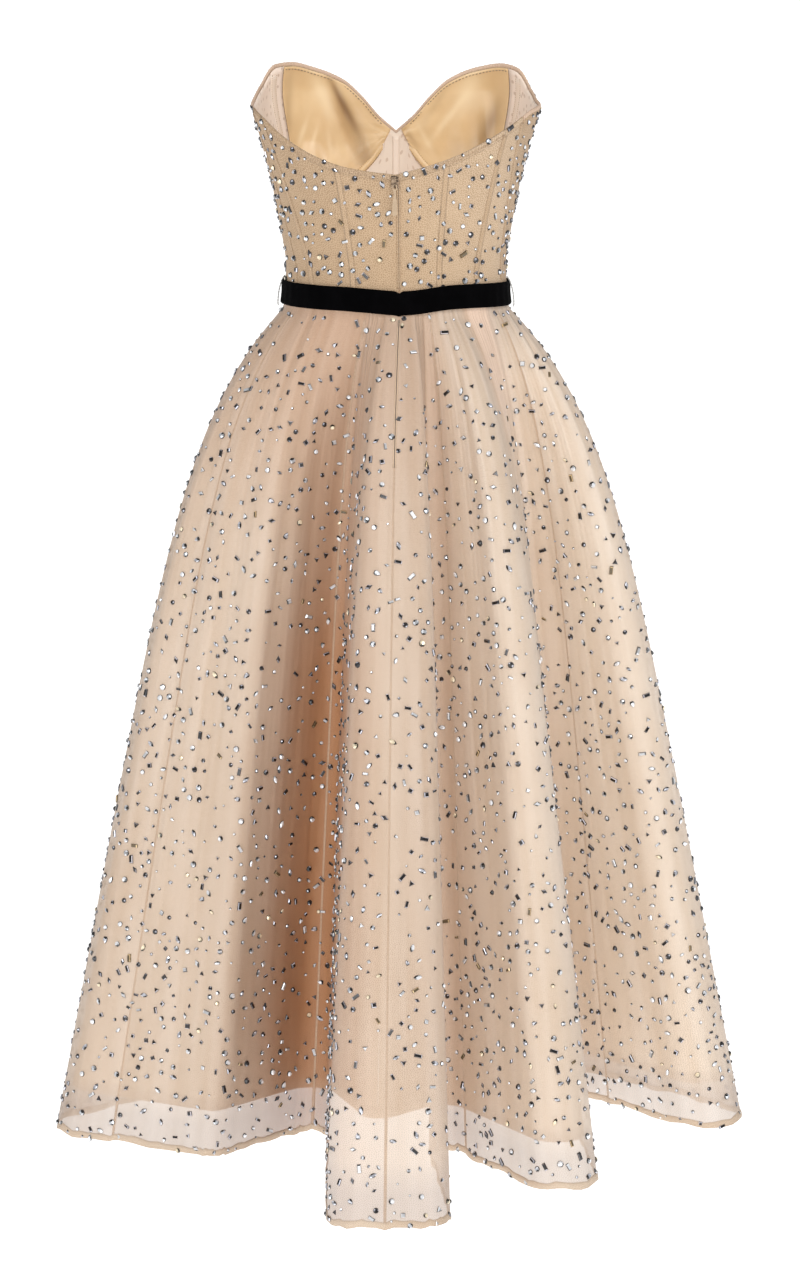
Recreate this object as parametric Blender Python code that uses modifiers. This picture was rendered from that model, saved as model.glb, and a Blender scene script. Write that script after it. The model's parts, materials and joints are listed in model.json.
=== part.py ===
# Strapless cocktail dress, filled out as if worn, with its velvet belt.
# Metres, +Z up. The back of the dress faces -Y, and +X is the side at the right of that view.
# The origin is the centre of the waist, at the height of the belt.

import math
from collections import namedtuple

import bmesh
import bpy
import numpy as np
from mathutils import Vector

COLLECTION_NAME = "cocktail_dress"

# Driving dimensions
SEAM_GAP = 0.0005
LAYER_GAP = 0.0004
LINING_GAP = 0.0009
CUP_GAP = 0.0014
TULLE_WALL = 0.0010
LINING_WALL = 0.0010
BODICE_WALL = 0.0014
CUP_WALL = 0.0030
SATIN_WALL = 0.0010
BELT_WALL = 0.0020

WAIST_SEAM = -0.0040
STRAIGHT_DROP = 0.0110
HEM_LEVEL = -0.8780
LINING_HEM_LEVEL = -0.8330
LINING_INSET_WAIST = 0.0034
LINING_INSET_HEM = 0.0090

GATHER_DEPTH = 0.0014
GATHER_FADE = 0.12
GATHER_LEAST = 0.0018

BELT_HEIGHT = 0.0245
BELT_CLEARANCE = 0.0007
BELT_KICK = 0.0014

BINDING_HEIGHT = 0.0042
BINDING_GAP = 0.0012

THREAD_RADIUS = 0.0006
LOOP_ANGLE_RIGHT = -4.0
LOOP_ANGLE_LEFT = 184.0
LOOP_ABOVE_BELT = 0.0040
LOOP_BELOW_BELT = 0.0045
LOOP_STAND = 0.0105
LOOP_BOW = 0.0085
LOOP_STEPS = 10

CENTRE_BACK = -88.3
BUST_SPREAD = 38.0
BUST_WIDTH = 26.0
WIRE_BOTTOM = 0.096

SLIDER_SIZE = Vector((0.0075, 0.0026, 0.0125))
SLIDER_X = -0.0010
SLIDER_TOP = 0.1282
SLIDER_EDGE = 0.0007
BRIDGE_WIDTH = 0.0016
BRIDGE_REACH = 0.0034
BRIDGE_HEIGHT = 0.0044
BRIDGE_WIRE = 0.0009
BRIDGE_CORNER = 0.0008
BRIDGE_ROOT = 0.0006
BRIDGE_UP = 0.0034
PIVOT_DEPTH = 0.00125
PIVOT_DROP = 0.0004
RING_BAR = 0.0005
RING_PLAY = 0.00045
RING_WIRE = 0.0011
RING_INSIDE = 0.0040
NECK_HALF = 0.0012
NECK_DROP = 0.0016
TAB_THICK = 0.0010
TAB_LENGTH = 0.0310
TAB_END_HALF = 0.00275
TAB_END_STEPS = 8

# Half widths of the pull's tab below its neck, by the drop from the pivot.
Station = namedtuple("Station", "half drop")
TAB_SIDE = (
    Station(0.0011, 0.0085),
    Station(0.0019, 0.0145),
    Station(0.0025, 0.0210),
)

# Faces across and up each kind of bodice piece.
SIDE_COLUMNS = 12
GORE_COLUMNS = 4
CUP_COLUMNS = 10
LINING_COLUMNS = 36
BODICE_ROWS = 6
FRONT_ROWS = 5
CUP_ROWS = 7
BINDING_STEPS = 60
BELT_COLUMNS = 64

# The folds at the hem, counter-clockwise from the centre back. The hem runs round each row's
# peg: outside the pegs that stand out, inside those that hold the cloth in.
# angle and reach place the tip of the fold, curl is its radius, and waist is where its cloth
# is gathered into the waist seam.
Fold = namedtuple("Fold", "name out angle reach curl waist")
HEM_FOLDS = (
    Fold("centre right", True, -86.9, 0.4065, 0.034, -81.0),
    Fold("valley by centre right", False, -72.6, 0.1520, 0.016, -75.4),
    Fold("right centre", True, -55.7, 0.3345, 0.038, -60.0),
    Fold("valley by right flare", False, 17.8, 0.1850, 0.011, -33.0),
    Fold("right flare", True, -3.9, 0.3680, 0.040, -4.0),
    Fold("front valley 1", False, 38.0, 0.2500, 0.026, 22.0),
    Fold("front flare 1", True, 60.0, 0.3850, 0.042, 46.0),
    Fold("front valley 2", False, 80.0, 0.2300, 0.026, 69.0),
    Fold("front flare 2", True, 101.0, 0.3950, 0.044, 92.0),
    Fold("front valley 3", False, 123.0, 0.2350, 0.026, 116.0),
    Fold("front flare 3", True, 146.0, 0.3800, 0.042, 140.0),
    Fold("front valley 4", False, 168.0, 0.2600, 0.026, 164.0),
    Fold("left flare side", True, 189.6, 0.3630, 0.048, 187.0),
    Fold("left flare back", True, 216.4, 0.2650, 0.024, 229.0),
    Fold("valley by centre left", False, 226.2, 0.1140, 0.020, 255.0),
    Fold("centre left", True, 265.0, 0.4145, 0.036, 266.0),
)
# The lining stays out of the deep centre back fold.
LINING_FOLDS = {
    "centre right": Fold("centre right", True, 265.3, 0.1947, 0.022, -81.0),
    "centre left": Fold("centre left", True, 262.7, 0.1954, 0.022, 266.0),
}
ARC_STEPS = 4
RUN_STEP = 0.042

# How the skirt opens out on the way down: a quick start and an even run.
FLARE_START = 0.33
FLARE_RATE = 8.5

# Rows of both layers of the skirt, as shares of the way down from the waist seam. The lining
# has all but the last, which is its own hem.
SKIRT_LEVELS = (0.0, 0.0130, 0.040, 0.085, 0.150, 0.250, 0.400, 0.640, 1.0)

# Sections of the bodice: half width, depth behind and before the middle, and how far the
# cups stand out.
Section = namedtuple("Section", "height half_width back front bust")
BODICE_SECTIONS = (
    Section(-0.004, 0.1155, 0.0925, 0.0925, 0.000),
    Section(0.027, 0.1135, 0.0905, 0.0930, 0.000),
    Section(0.064, 0.1185, 0.0915, 0.0960, 0.006),
    Section(0.107, 0.1265, 0.0940, 0.0990, 0.020),
    Section(0.149, 0.1365, 0.0960, 0.1010, 0.032),
    Section(0.197, 0.1490, 0.0980, 0.1000, 0.030),
    Section(0.247, 0.1540, 0.1000, 0.0960, 0.014),
)

# Height of the top edge, by the angle away from the centre front, left and right in the
# back view.
Edge = namedtuple("Edge", "away left right")
TOP_EDGE = (
    Edge(0.0, 0.1575, 0.1575),
    Edge(7.0, 0.1735, 0.1735),
    Edge(13.0, 0.1930, 0.1930),
    Edge(20.0, 0.2110, 0.2115),
    Edge(30.0, 0.2230, 0.2235),
    Edge(41.0, 0.2300, 0.2285),
    Edge(49.0, 0.2285, 0.2250),
    Edge(60.0, 0.2090, 0.2050),
    Edge(74.0, 0.1980, 0.1950),
    Edge(90.0, 0.1925, 0.1930),
    Edge(108.0, 0.1830, 0.1900),
    Edge(124.0, 0.1645, 0.1760),
    Edge(140.0, 0.1480, 0.1595),
    Edge(156.0, 0.1365, 0.1445),
    Edge(170.0, 0.1315, 0.1350),
    Edge(180.0, 0.1290, 0.1290),
)

# Underwire: height of the lower edge of a cup, by the angle away from the centre front.
Wire = namedtuple("Wire", "away height")
WIRE_LINE = (
    Wire(5.0, 0.1440),
    Wire(12.0, 0.1220),
    Wire(22.0, 0.1030),
    Wire(31.0, WIRE_BOTTOM),
    Wire(40.0, 0.1040),
    Wire(46.0, 0.1220),
)

# Upright seams of the bodice: angle at the waist and lean in degrees for each metre up.
Seam = namedtuple("Seam", "angle lean")
SEAM_CENTRE_RIGHT = Seam(CENTRE_BACK, -4.0)
SEAM_CENTRE_LEFT = Seam(CENTRE_BACK + 360.0, -4.0)
SEAM_RIGHT_1 = Seam(-67.2, 0.0)
SEAM_RIGHT_2 = Seam(-44.7, 40.0)
SEAM_RIGHT_3 = Seam(-16.5, -59.0)
SEAM_RIGHT_4 = Seam(45.0, 0.0)
SEAM_GORE_RIGHT = Seam(85.0, 0.0)
SEAM_GORE_LEFT = Seam(95.0, 0.0)
SEAM_LEFT_4 = Seam(135.0, 0.0)
SEAM_LEFT_3 = Seam(208.0, -120.0)
SEAM_LEFT_2 = Seam(223.4, -138.0)
SEAM_LEFT_1 = Seam(248.2, -38.0)

# The top binding ends just short of the seams behind the arms.
BINDING_START = -26.3
BINDING_STOP = 184.8

# Seams of the outer skirt, as waist angles.
SKIRT_SEAM_RIGHT = -25.0
SKIRT_SEAM_PRINCESS_RIGHT = -72.6
SKIRT_SEAM_PRINCESS_LEFT = 254.5
SKIRT_SEAM_LEFT = 205.0

# How far the belt's centre line rises above the waist, by angle.
Rise = namedtuple("Rise", "angle rise")
BELT_LINE = (
    Rise(-120.0, 0.0020),
    Rise(-88.3, -0.0015),
    Rise(-58.0, 0.0035),
    Rise(0.0, 0.0000),
    Rise(90.0, 0.0015),
    Rise(180.0, 0.0015),
    Rise(240.0, 0.0020),
    Rise(271.7, -0.0015),
)

TULLE_COLOUR = (0.78, 0.62, 0.46)
LINING_COLOUR = (0.76, 0.54, 0.36)
BODICE_COLOUR = (0.56, 0.40, 0.26)
MESH_COLOUR = (0.80, 0.64, 0.54)
SATIN_COLOUR = (0.84, 0.60, 0.30)
VELVET_COLOUR = (0.006, 0.005, 0.006)
THREAD_COLOUR = (0.80, 0.79, 0.76)
BRONZE_COLOUR = (0.10, 0.065, 0.04)
TAB_COLOUR = (0.60, 0.44, 0.27)


def clear_scene():
    for old in list(bpy.data.objects):
        bpy.data.objects.remove(old, do_unlink=True)


def make_collection(name):
    collection = bpy.data.collections.new(name)
    bpy.context.scene.collection.children.link(collection)
    return collection


def cloth_material(name, colour, roughness, metallic=0.0):
    material = bpy.data.materials.new(name)
    material.use_nodes = True
    shader = material.node_tree.nodes["Principled BSDF"]
    shader.inputs["Base Color"].default_value = (*colour, 1.0)
    shader.inputs["Roughness"].default_value = roughness
    shader.inputs["Metallic"].default_value = metallic
    return material


def through(places, values, place):
    # A smooth curve through the rows of a table that doesn't overshoot them.
    last = len(places) - 1
    if place <= places[0]:
        return values[0]
    if place >= places[last]:
        return values[last]
    steps = []
    for i in range(last):
        steps.append((values[i + 1] - values[i]) / (places[i + 1] - places[i]))
    i = 0
    while place > places[i + 1]:
        i += 1
    slopes = []
    for k in (i, i + 1):
        before = steps[max(k - 1, 0)]
        after = steps[min(k, last - 1)]
        if before * after > 0.0:
            slopes.append(2.0 * before * after / (before + after))
        else:
            slopes.append(0.0)
    width = places[i + 1] - places[i]
    t = (place - places[i]) / width
    start = (1.0 + 2.0 * t) * (1.0 - t) ** 2 * values[i]
    finish = t * t * (3.0 - 2.0 * t) * values[i + 1]
    leave = t * (1.0 - t) ** 2 * width * slopes[0]
    arrive = t * t * (t - 1.0) * width * slopes[1]
    return start + finish + leave + arrive


def column(rows, name):
    return [getattr(row, name) for row in rows]


# ---- sheets and solids

def link(collection, name, mesh, material):
    mesh.materials.append(material)
    item = bpy.data.objects.new(name, mesh)
    collection.objects.link(item)
    return item


def sheet(collection, name, rows, wall, material, closed=False):
    # Rows of points from the lowest up, each running counter-clockwise seen from above, so
    # that the faces point outwards. The wall is added on the inside.
    form = bmesh.new()
    grid = []
    for row in rows:
        grid.append([form.verts.new(point) for point in row])
    wide = len(grid[0])
    spans = wide if closed else wide - 1
    for low, high in zip(grid[:-1], grid[1:]):
        for i in range(spans):
            j = (i + 1) % wide
            form.faces.new((low[i], low[j], high[j], high[i]))
    mesh = bpy.data.meshes.new(name)
    form.to_mesh(mesh)
    form.free()
    mesh.shade_smooth()
    item = link(collection, name, mesh, material)
    shell = item.modifiers.new("wall", "SOLIDIFY")
    shell.thickness = wall
    shell.offset = -1.0
    shell.use_even_offset = True
    shell.use_quality_normals = True
    return item


# ---- skirt

def heading(vector):
    return math.atan2(vector[1], vector[0])


def right_of(direction):
    return np.array([math.sin(direction), -math.cos(direction)])


def peg(fold, inset):
    # Centre of the peg, and its radius, negative where the cloth runs inside it.
    turn = math.radians(fold.angle)
    away = np.array([math.cos(turn), math.sin(turn)])
    if fold.out:
        return away * (fold.reach - fold.curl), fold.curl - inset
    return away * (fold.reach + fold.curl), -fold.curl - inset


def hem_line(folds, inset, spacing=None):
    # Points of the hem from peg to peg, with the waist angle at each. spacing is the number
    # of steps on each straight run, so that two hems can share their columns.
    pegs = [peg(fold, inset) for fold in folds]
    count = len(pegs)
    leave = []
    for i in range(count):
        centre, radius = pegs[i]
        other, other_radius = pegs[(i + 1) % count]
        across = other - centre
        lean = math.asin((radius - other_radius) / np.linalg.norm(across))
        leave.append(heading(across) + lean)
    points = []
    marks = []
    runs = []
    for i in range(count):
        centre, radius = pegs[i]
        arrive = leave[i - 1]
        sweep = (leave[i] - arrive) % (2.0 * math.pi)
        if radius < 0.0:
            sweep -= 2.0 * math.pi
        if abs(sweep) > math.radians(300.0):
            sweep -= math.copysign(2.0 * math.pi, sweep)
        for k in range(ARC_STEPS + 1):
            direction = arrive + sweep * k / ARC_STEPS
            points.append(centre + radius * right_of(direction))
            marks.append(i if k == ARC_STEPS // 2 else None)
        other, other_radius = pegs[(i + 1) % count]
        start = points[-1]
        stop = other + other_radius * right_of(leave[i])
        steps = max(1, round(float(np.linalg.norm(stop - start)) / RUN_STEP))
        if spacing is not None:
            steps = spacing[i]
        runs.append(steps)
        for k in range(1, steps):
            points.append(start + (stop - start) * k / steps)
            marks.append(None)
    return points, marks, runs


def waist_angles(folds, points, marks):
    # Between the tips of two folds the waist angle follows the length along the hem.
    total = len(points)
    lengths = [0.0]
    for i in range(total):
        lengths.append(lengths[-1] + float(np.linalg.norm(points[(i + 1) % total] - points[i])))
    around = lengths[-1]
    tips = []
    for i, mark in enumerate(marks):
        if mark is not None:
            tips.append((lengths[i], folds[mark].waist))
    tips.append((tips[0][0] + around, tips[0][1] + 360.0))
    angles = []
    for i in range(total):
        place = lengths[i]
        if place < tips[0][0]:
            place += around
        angle = float(np.interp(place, [tip[0] for tip in tips], [tip[1] for tip in tips]))
        if lengths[i] < tips[0][0]:
            angle -= 360.0
        angles.append(angle)
    return angles


def flare(level):
    # Share of the way from the waist to the hem line, by how far down the skirt a point is.
    return FLARE_START * (1.0 - math.exp(-FLARE_RATE * level)) + (1.0 - FLARE_START) * level


def skirt_columns():
    # Each column: waist angle, hem point of the tulle, hem point of the lining, gather.
    points, marks, runs = hem_line(HEM_FOLDS, 0.0)
    angles = waist_angles(HEM_FOLDS, points, marks)
    folds = [LINING_FOLDS.get(fold.name, fold) for fold in HEM_FOLDS]
    inner, _, _ = hem_line(folds, LINING_INSET_HEM, runs)
    columns = []
    total = len(angles)
    for i, angle in enumerate(angles):
        before = waist_point(angles[i - 1], 0.0)[0]
        after = waist_point(angles[(i + 1) % total], 0.0)[0]
        spacing = float(np.linalg.norm(after - before)) / 2.0
        gather = min(max((spacing - GATHER_LEAST) / GATHER_LEAST, 0.0), 1.0)
        columns.append((angle, points[i], inner[i], gather if i % 2 else -gather))
    return columns


def with_seams(columns, seams):
    # Adds a column at each seam, halfway between its neighbours where they don't match it.
    result = list(columns)
    for seam in seams:
        for i in range(len(result) - 1):
            before = result[i]
            after = result[i + 1]
            if before[0] < seam < after[0]:
                share = (seam - before[0]) / (after[0] - before[0])
                share = min(max(share, 0.0), 1.0)
                result.insert(i + 1, (
                    seam,
                    before[1] + (after[1] - before[1]) * share,
                    before[2] + (after[2] - before[2]) * share,
                    0.0,
                ))
                break
    return result


def waist_point(angle, inset):
    section = BODICE_SECTIONS[0]
    turn = math.radians(angle)
    point = np.array([section.half_width * math.cos(turn), section.back * math.sin(turn)])
    normal = np.array([math.cos(turn) / section.half_width, math.sin(turn) / section.back])
    return point - normal / np.linalg.norm(normal) * inset, normal / np.linalg.norm(normal)


def skirt_rows(columns, inner):
    # Rows of points from the hem up.
    drop = WAIST_SEAM - HEM_LEVEL
    heights = [WAIST_SEAM - drop * level for level in SKIRT_LEVELS]
    if inner:
        heights[0] = WAIST_SEAM - LAYER_GAP
        heights[-1] = LINING_HEM_LEVEL
    rows = []
    for height in reversed(heights):
        down = max(0.0, (WAIST_SEAM - height - STRAIGHT_DROP) / (drop - STRAIGHT_DROP))
        spread = flare(down)
        row = []
        for angle, hem, lining_hem, gather in columns:
            base, normal = waist_point(angle, LINING_INSET_WAIST if inner else GATHER_DEPTH / 2.0)
            target = lining_hem if inner else hem
            place = base + (target - base) * spread
            if not inner:
                soft = math.exp(-down / GATHER_FADE)
                place = place + normal * gather * GATHER_DEPTH / 2.0 * soft
            row.append(np.array([place[0], place[1], height]))
        rows.append(row)
    return rows


def part_between(columns, rows, start, stop, gap):
    # The columns of a closed skirt between two seams, drawn back by half the gap.
    picked = []
    for turn in (-360.0, 0.0, 360.0):
        for i, entry in enumerate(columns):
            angle = entry[0] + turn
            if start - 1e-6 <= angle <= stop + 1e-6:
                picked.append((angle, i))
    picked.sort()
    cleaned = []
    for angle, i in picked:
        if not cleaned or angle - cleaned[-1][0] > 1e-6:
            cleaned.append((angle, i))
    result = []
    for row in rows:
        line = [row[i] for _, i in cleaned]
        first = line[1] - line[0]
        last = line[-2] - line[-1]
        line[0] = line[0] + first / np.linalg.norm(first) * gap / 2.0
        line[-1] = line[-1] + last / np.linalg.norm(last) * gap / 2.0
        result.append(line)
    return result


def build_skirt(collection, tulle, lining):
    seams = (SKIRT_SEAM_PRINCESS_RIGHT, SKIRT_SEAM_RIGHT, SKIRT_SEAM_LEFT,
             SKIRT_SEAM_PRINCESS_LEFT, CENTRE_BACK + 360.0)
    columns = sorted(skirt_columns(), key=lambda entry: entry[0])
    first = columns[0]
    columns.append((first[0] + 360.0, first[1], first[2], first[3]))
    columns = with_seams(columns, seams)
    outer = skirt_rows(columns, False)
    inner = skirt_rows(columns, True)
    centre_left = CENTRE_BACK + 360.0
    panels = (
        ("skirt_back_centre_right", outer, CENTRE_BACK, SKIRT_SEAM_PRINCESS_RIGHT),
        ("skirt_back_side_right", outer, SKIRT_SEAM_PRINCESS_RIGHT, SKIRT_SEAM_RIGHT),
        ("skirt_front", outer, SKIRT_SEAM_RIGHT, SKIRT_SEAM_LEFT),
        ("skirt_back_side_left", outer, SKIRT_SEAM_LEFT, SKIRT_SEAM_PRINCESS_LEFT),
        ("skirt_back_centre_left", outer, SKIRT_SEAM_PRINCESS_LEFT, centre_left),
        ("lining_back_right", inner, CENTRE_BACK, SKIRT_SEAM_RIGHT),
        ("lining_front", inner, SKIRT_SEAM_RIGHT, SKIRT_SEAM_LEFT),
        ("lining_back_left", inner, SKIRT_SEAM_LEFT, centre_left),
    )
    for name, rows, start, stop in panels:
        cut = part_between(columns, rows, start, stop, SEAM_GAP)
        if rows is outer:
            sheet(collection, name, cut, TULLE_WALL, tulle)
        else:
            sheet(collection, name, cut, LINING_WALL, lining)


# ---- bodice

def section_at(height):
    heights = column(BODICE_SECTIONS, "height")
    values = []
    for name in ("half_width", "back", "front", "bust"):
        values.append(through(heights, column(BODICE_SECTIONS, name), height))
    return values


def bodice_surface(angle, height):
    half_width, back, front, bust = section_at(height)
    turn = math.radians(angle)
    across = math.cos(turn)
    along = math.sin(turn)
    depth = front if along > 0.0 else back
    normal = np.array([across / half_width, along / depth])
    normal = normal / np.linalg.norm(normal)
    swell = 0.0
    for side in (-1.0, 1.0):
        swell += bust * math.exp(-((angle - 90.0 - side * BUST_SPREAD) / BUST_WIDTH) ** 2)
    x = half_width * across + normal[0] * swell
    y = depth * along + normal[1] * swell
    return np.array([x, y, height])


def bodice_point(angle, height, inset=0.0):
    point = bodice_surface(angle, height)
    if inset == 0.0:
        return point
    along = bodice_surface(angle + 0.5, height) - bodice_surface(angle - 0.5, height)
    up = bodice_surface(angle, height + 0.001) - bodice_surface(angle, height - 0.001)
    normal = np.cross(along, up)
    return point - normal / np.linalg.norm(normal) * inset


def top_edge(angle):
    away = abs((angle - 90.0 + 180.0) % 360.0 - 180.0)
    left = (angle - 90.0) % 360.0 < 180.0
    side = "left" if left else "right"
    return through(column(TOP_EDGE, "away"), column(TOP_EDGE, side), away)


def wire_line(angle):
    away = abs(angle - 90.0)
    return through(column(WIRE_LINE, "away"), column(WIRE_LINE, "height"), away)


def seam_angle(seam, height):
    return seam.angle + seam.lean * height


def patch(start, stop, bottom, top, across, up, inset=0.0, gap=SEAM_GAP):
    # Rows of points between two upright seams, from a lower line to an upper line.
    rows = []
    for r in range(up + 1):
        row = []
        for c in range(across + 1):
            height = bottom(90.0) if callable(bottom) else bottom
            for _ in range(6):
                low = seam_angle(start, height)
                high = seam_angle(stop, height)
                angle = low + (high - low) * c / across
                floor = bottom(angle) if callable(bottom) else bottom
                ceiling = top(angle) if callable(top) else top
                height = floor + (ceiling - floor) * r / up
            row.append(bodice_point(angle, height, inset))
        first = row[1] - row[0]
        last = row[-2] - row[-1]
        row[0] = row[0] + first / np.linalg.norm(first) * gap / 2.0
        row[-1] = row[-1] + last / np.linalg.norm(last) * gap / 2.0
        rows.append(row)
    return rows


def bound_edge(angle):
    return top_edge(angle) - BINDING_HEIGHT - BINDING_GAP


def above_wire(angle):
    return wire_line(angle) + SEAM_GAP


def below_wire(angle):
    return wire_line(angle) - SEAM_GAP


def build_bodice(collection, cloth, mesh_cloth, satin, binding):
    floor = WAIST_SEAM + SEAM_GAP
    backs = (
        ("bodice_back_centre_right", SEAM_CENTRE_RIGHT, SEAM_RIGHT_1, 4),
        ("bodice_back_side_right", SEAM_RIGHT_1, SEAM_RIGHT_2, 4),
        ("bodice_side_back_right", SEAM_RIGHT_2, SEAM_RIGHT_3, 5),
        ("bodice_side_back_left", SEAM_LEFT_3, SEAM_LEFT_2, 3),
        ("bodice_back_side_left", SEAM_LEFT_2, SEAM_LEFT_1, 5),
        ("bodice_back_centre_left", SEAM_LEFT_1, SEAM_CENTRE_LEFT, 4),
    )
    for name, start, stop, across in backs:
        rows = patch(start, stop, floor, top_edge, across, BODICE_ROWS)
        sheet(collection, name, rows, BODICE_WALL, cloth)

    inside = BODICE_WALL + LINING_GAP
    sides = (
        ("side_right", SEAM_RIGHT_3, SEAM_RIGHT_4),
        ("side_left", SEAM_LEFT_4, SEAM_LEFT_3),
    )
    for name, start, stop in sides:
        rows = patch(start, stop, floor, bound_edge, SIDE_COLUMNS, BODICE_ROWS)
        sheet(collection, "bodice_" + name, rows, BODICE_WALL, cloth)
        rows = patch(start, stop, floor, bound_edge, SIDE_COLUMNS, BODICE_ROWS, inside)
        sheet(collection, "bodice_lining_" + name, rows, SATIN_WALL, mesh_cloth)

    rows = patch(SEAM_GORE_RIGHT, SEAM_GORE_LEFT, floor, bound_edge, GORE_COLUMNS, BODICE_ROWS)
    sheet(collection, "bodice_front_centre", rows, BODICE_WALL, cloth)

    fronts = (
        ("right", SEAM_RIGHT_4, SEAM_GORE_RIGHT),
        ("left", SEAM_GORE_LEFT, SEAM_LEFT_4),
    )
    for side, start, stop in fronts:
        rows = patch(start, stop, floor, below_wire, CUP_COLUMNS, FRONT_ROWS)
        sheet(collection, "bodice_front_" + side, rows, BODICE_WALL, cloth)
        rows = patch(start, stop, above_wire, bound_edge, CUP_COLUMNS, CUP_ROWS, 0.0, CUP_GAP)
        sheet(collection, "cup_" + side, rows, CUP_WALL, cloth)
        rows = patch(start, stop, above_wire, bound_edge, CUP_COLUMNS, CUP_ROWS,
                     CUP_WALL + LAYER_GAP, CUP_GAP)
        sheet(collection, "cup_lining_" + side, rows, SATIN_WALL, satin)

    rows = patch(SEAM_RIGHT_4, SEAM_LEFT_4, floor, below_wire, LINING_COLUMNS, FRONT_ROWS, inside)
    sheet(collection, "bodice_lining_front", rows, SATIN_WALL, mesh_cloth)

    low = []
    high = []
    for i in range(BINDING_STEPS + 1):
        angle = BINDING_START + (BINDING_STOP - BINDING_START) * i / BINDING_STEPS
        edge = top_edge(angle)
        low.append(bodice_point(angle, edge - BINDING_HEIGHT))
        high.append(bodice_point(angle, edge))
    sheet(collection, "top_binding", [low, high], BODICE_WALL, binding)


# ---- belt and loops

def belt_rise(angle):
    return through(column(BELT_LINE, "angle"), column(BELT_LINE, "rise"), angle)


def build_belt(collection, velvet, thread):
    rows = []
    for share, kick in ((0.0, BELT_KICK), (0.5, 0.0), (1.0, 0.0)):
        row = []
        for i in range(BELT_COLUMNS):
            angle = -90.0 + 360.0 * i / BELT_COLUMNS
            outer = BELT_CLEARANCE + BELT_WALL + kick
            place = waist_point(angle, -outer)[0]
            height = belt_rise(angle) + BELT_HEIGHT * (share - 0.5)
            row.append(np.array([place[0], place[1], height]))
        rows.append(row)
    sheet(collection, "belt", rows, BELT_WALL, velvet, closed=True)

    # Each thread loop bows out round the belt, most near its upper end.
    for side, angle in (("right", LOOP_ANGLE_RIGHT), ("left", LOOP_ANGLE_LEFT)):
        rise = belt_rise(angle)
        top = rise + BELT_HEIGHT / 2.0 + LOOP_ABOVE_BELT
        bottom = rise - BELT_HEIGHT / 2.0 - LOOP_BELOW_BELT
        outward = waist_point(angle, 0.0)[1]
        upper = bodice_point(angle, top)
        upper_side = Vector(upper) + Vector((*outward, 0.0)) * (THREAD_RADIUS + LAYER_GAP)
        lower_base = waist_point(angle, -LOOP_STAND)[0]
        lower_side = Vector((lower_base[0], lower_base[1], bottom))
        curve = bpy.data.curves.new("belt_loop_" + side, "CURVE")
        curve.dimensions = "3D"
        curve.bevel_depth = THREAD_RADIUS
        curve.bevel_resolution = 1
        curve.use_fill_caps = True
        line = curve.splines.new("POLY")
        line.points.add(LOOP_STEPS)
        for i in range(LOOP_STEPS + 1):
            t = i / LOOP_STEPS
            straight = upper_side.lerp(lower_side, t)
            bow = LOOP_BOW * math.sin(math.pi * t) ** 0.6 * (1.0 - 0.35 * t)
            place = straight + Vector((*outward, 0.0)) * bow
            line.points[i].co = (*place, 1.0)
        curve.materials.append(thread)
        collection.objects.link(bpy.data.objects.new("belt_loop_" + side, curve))


# ---- zip

def flat_outline(name, outline, holes, thick, collection, material):
    curve = bpy.data.curves.new(name, "CURVE")
    curve.dimensions = "2D"
    curve.fill_mode = "BOTH"
    curve.extrude = thick / 2.0
    for loop in (outline, *holes):
        line = curve.splines.new("POLY")
        line.points.add(len(loop) - 1)
        for place, point in zip(line.points, loop):
            place.co = (point[0], point[1], 0.0, 1.0)
        line.use_cyclic_u = True
    curve.materials.append(material)
    item = bpy.data.objects.new(name, curve)
    collection.objects.link(item)
    return item


def as_mesh(item, collection):
    # A curve's fill and walls are loose, so they are joined into one closed mesh.
    bpy.context.view_layer.update()
    graph = bpy.context.evaluated_depsgraph_get()
    mesh = bpy.data.meshes.new_from_object(item.evaluated_get(graph))
    form = bmesh.new()
    form.from_mesh(mesh)
    bmesh.ops.remove_doubles(form, verts=form.verts, dist=0.00001)
    bmesh.ops.recalc_face_normals(form, faces=form.faces)
    form.to_mesh(mesh)
    form.free()
    name = item.name
    place = item.matrix_world.copy()
    bpy.data.objects.remove(item, do_unlink=True)
    result = bpy.data.objects.new(name, mesh)
    result.matrix_world = place
    collection.objects.link(result)
    return result


def rounded_box(name, size, place, collection, material, radius):
    form = bmesh.new()
    bmesh.ops.create_cube(form, size=1.0)
    bmesh.ops.scale(form, verts=form.verts, vec=size)
    mesh = bpy.data.meshes.new(name)
    form.to_mesh(mesh)
    form.free()
    item = link(collection, name, mesh, material)
    item.location = place
    edge = item.modifiers.new("edge", "BEVEL")
    edge.width = radius
    edge.segments = 2
    return item


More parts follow.
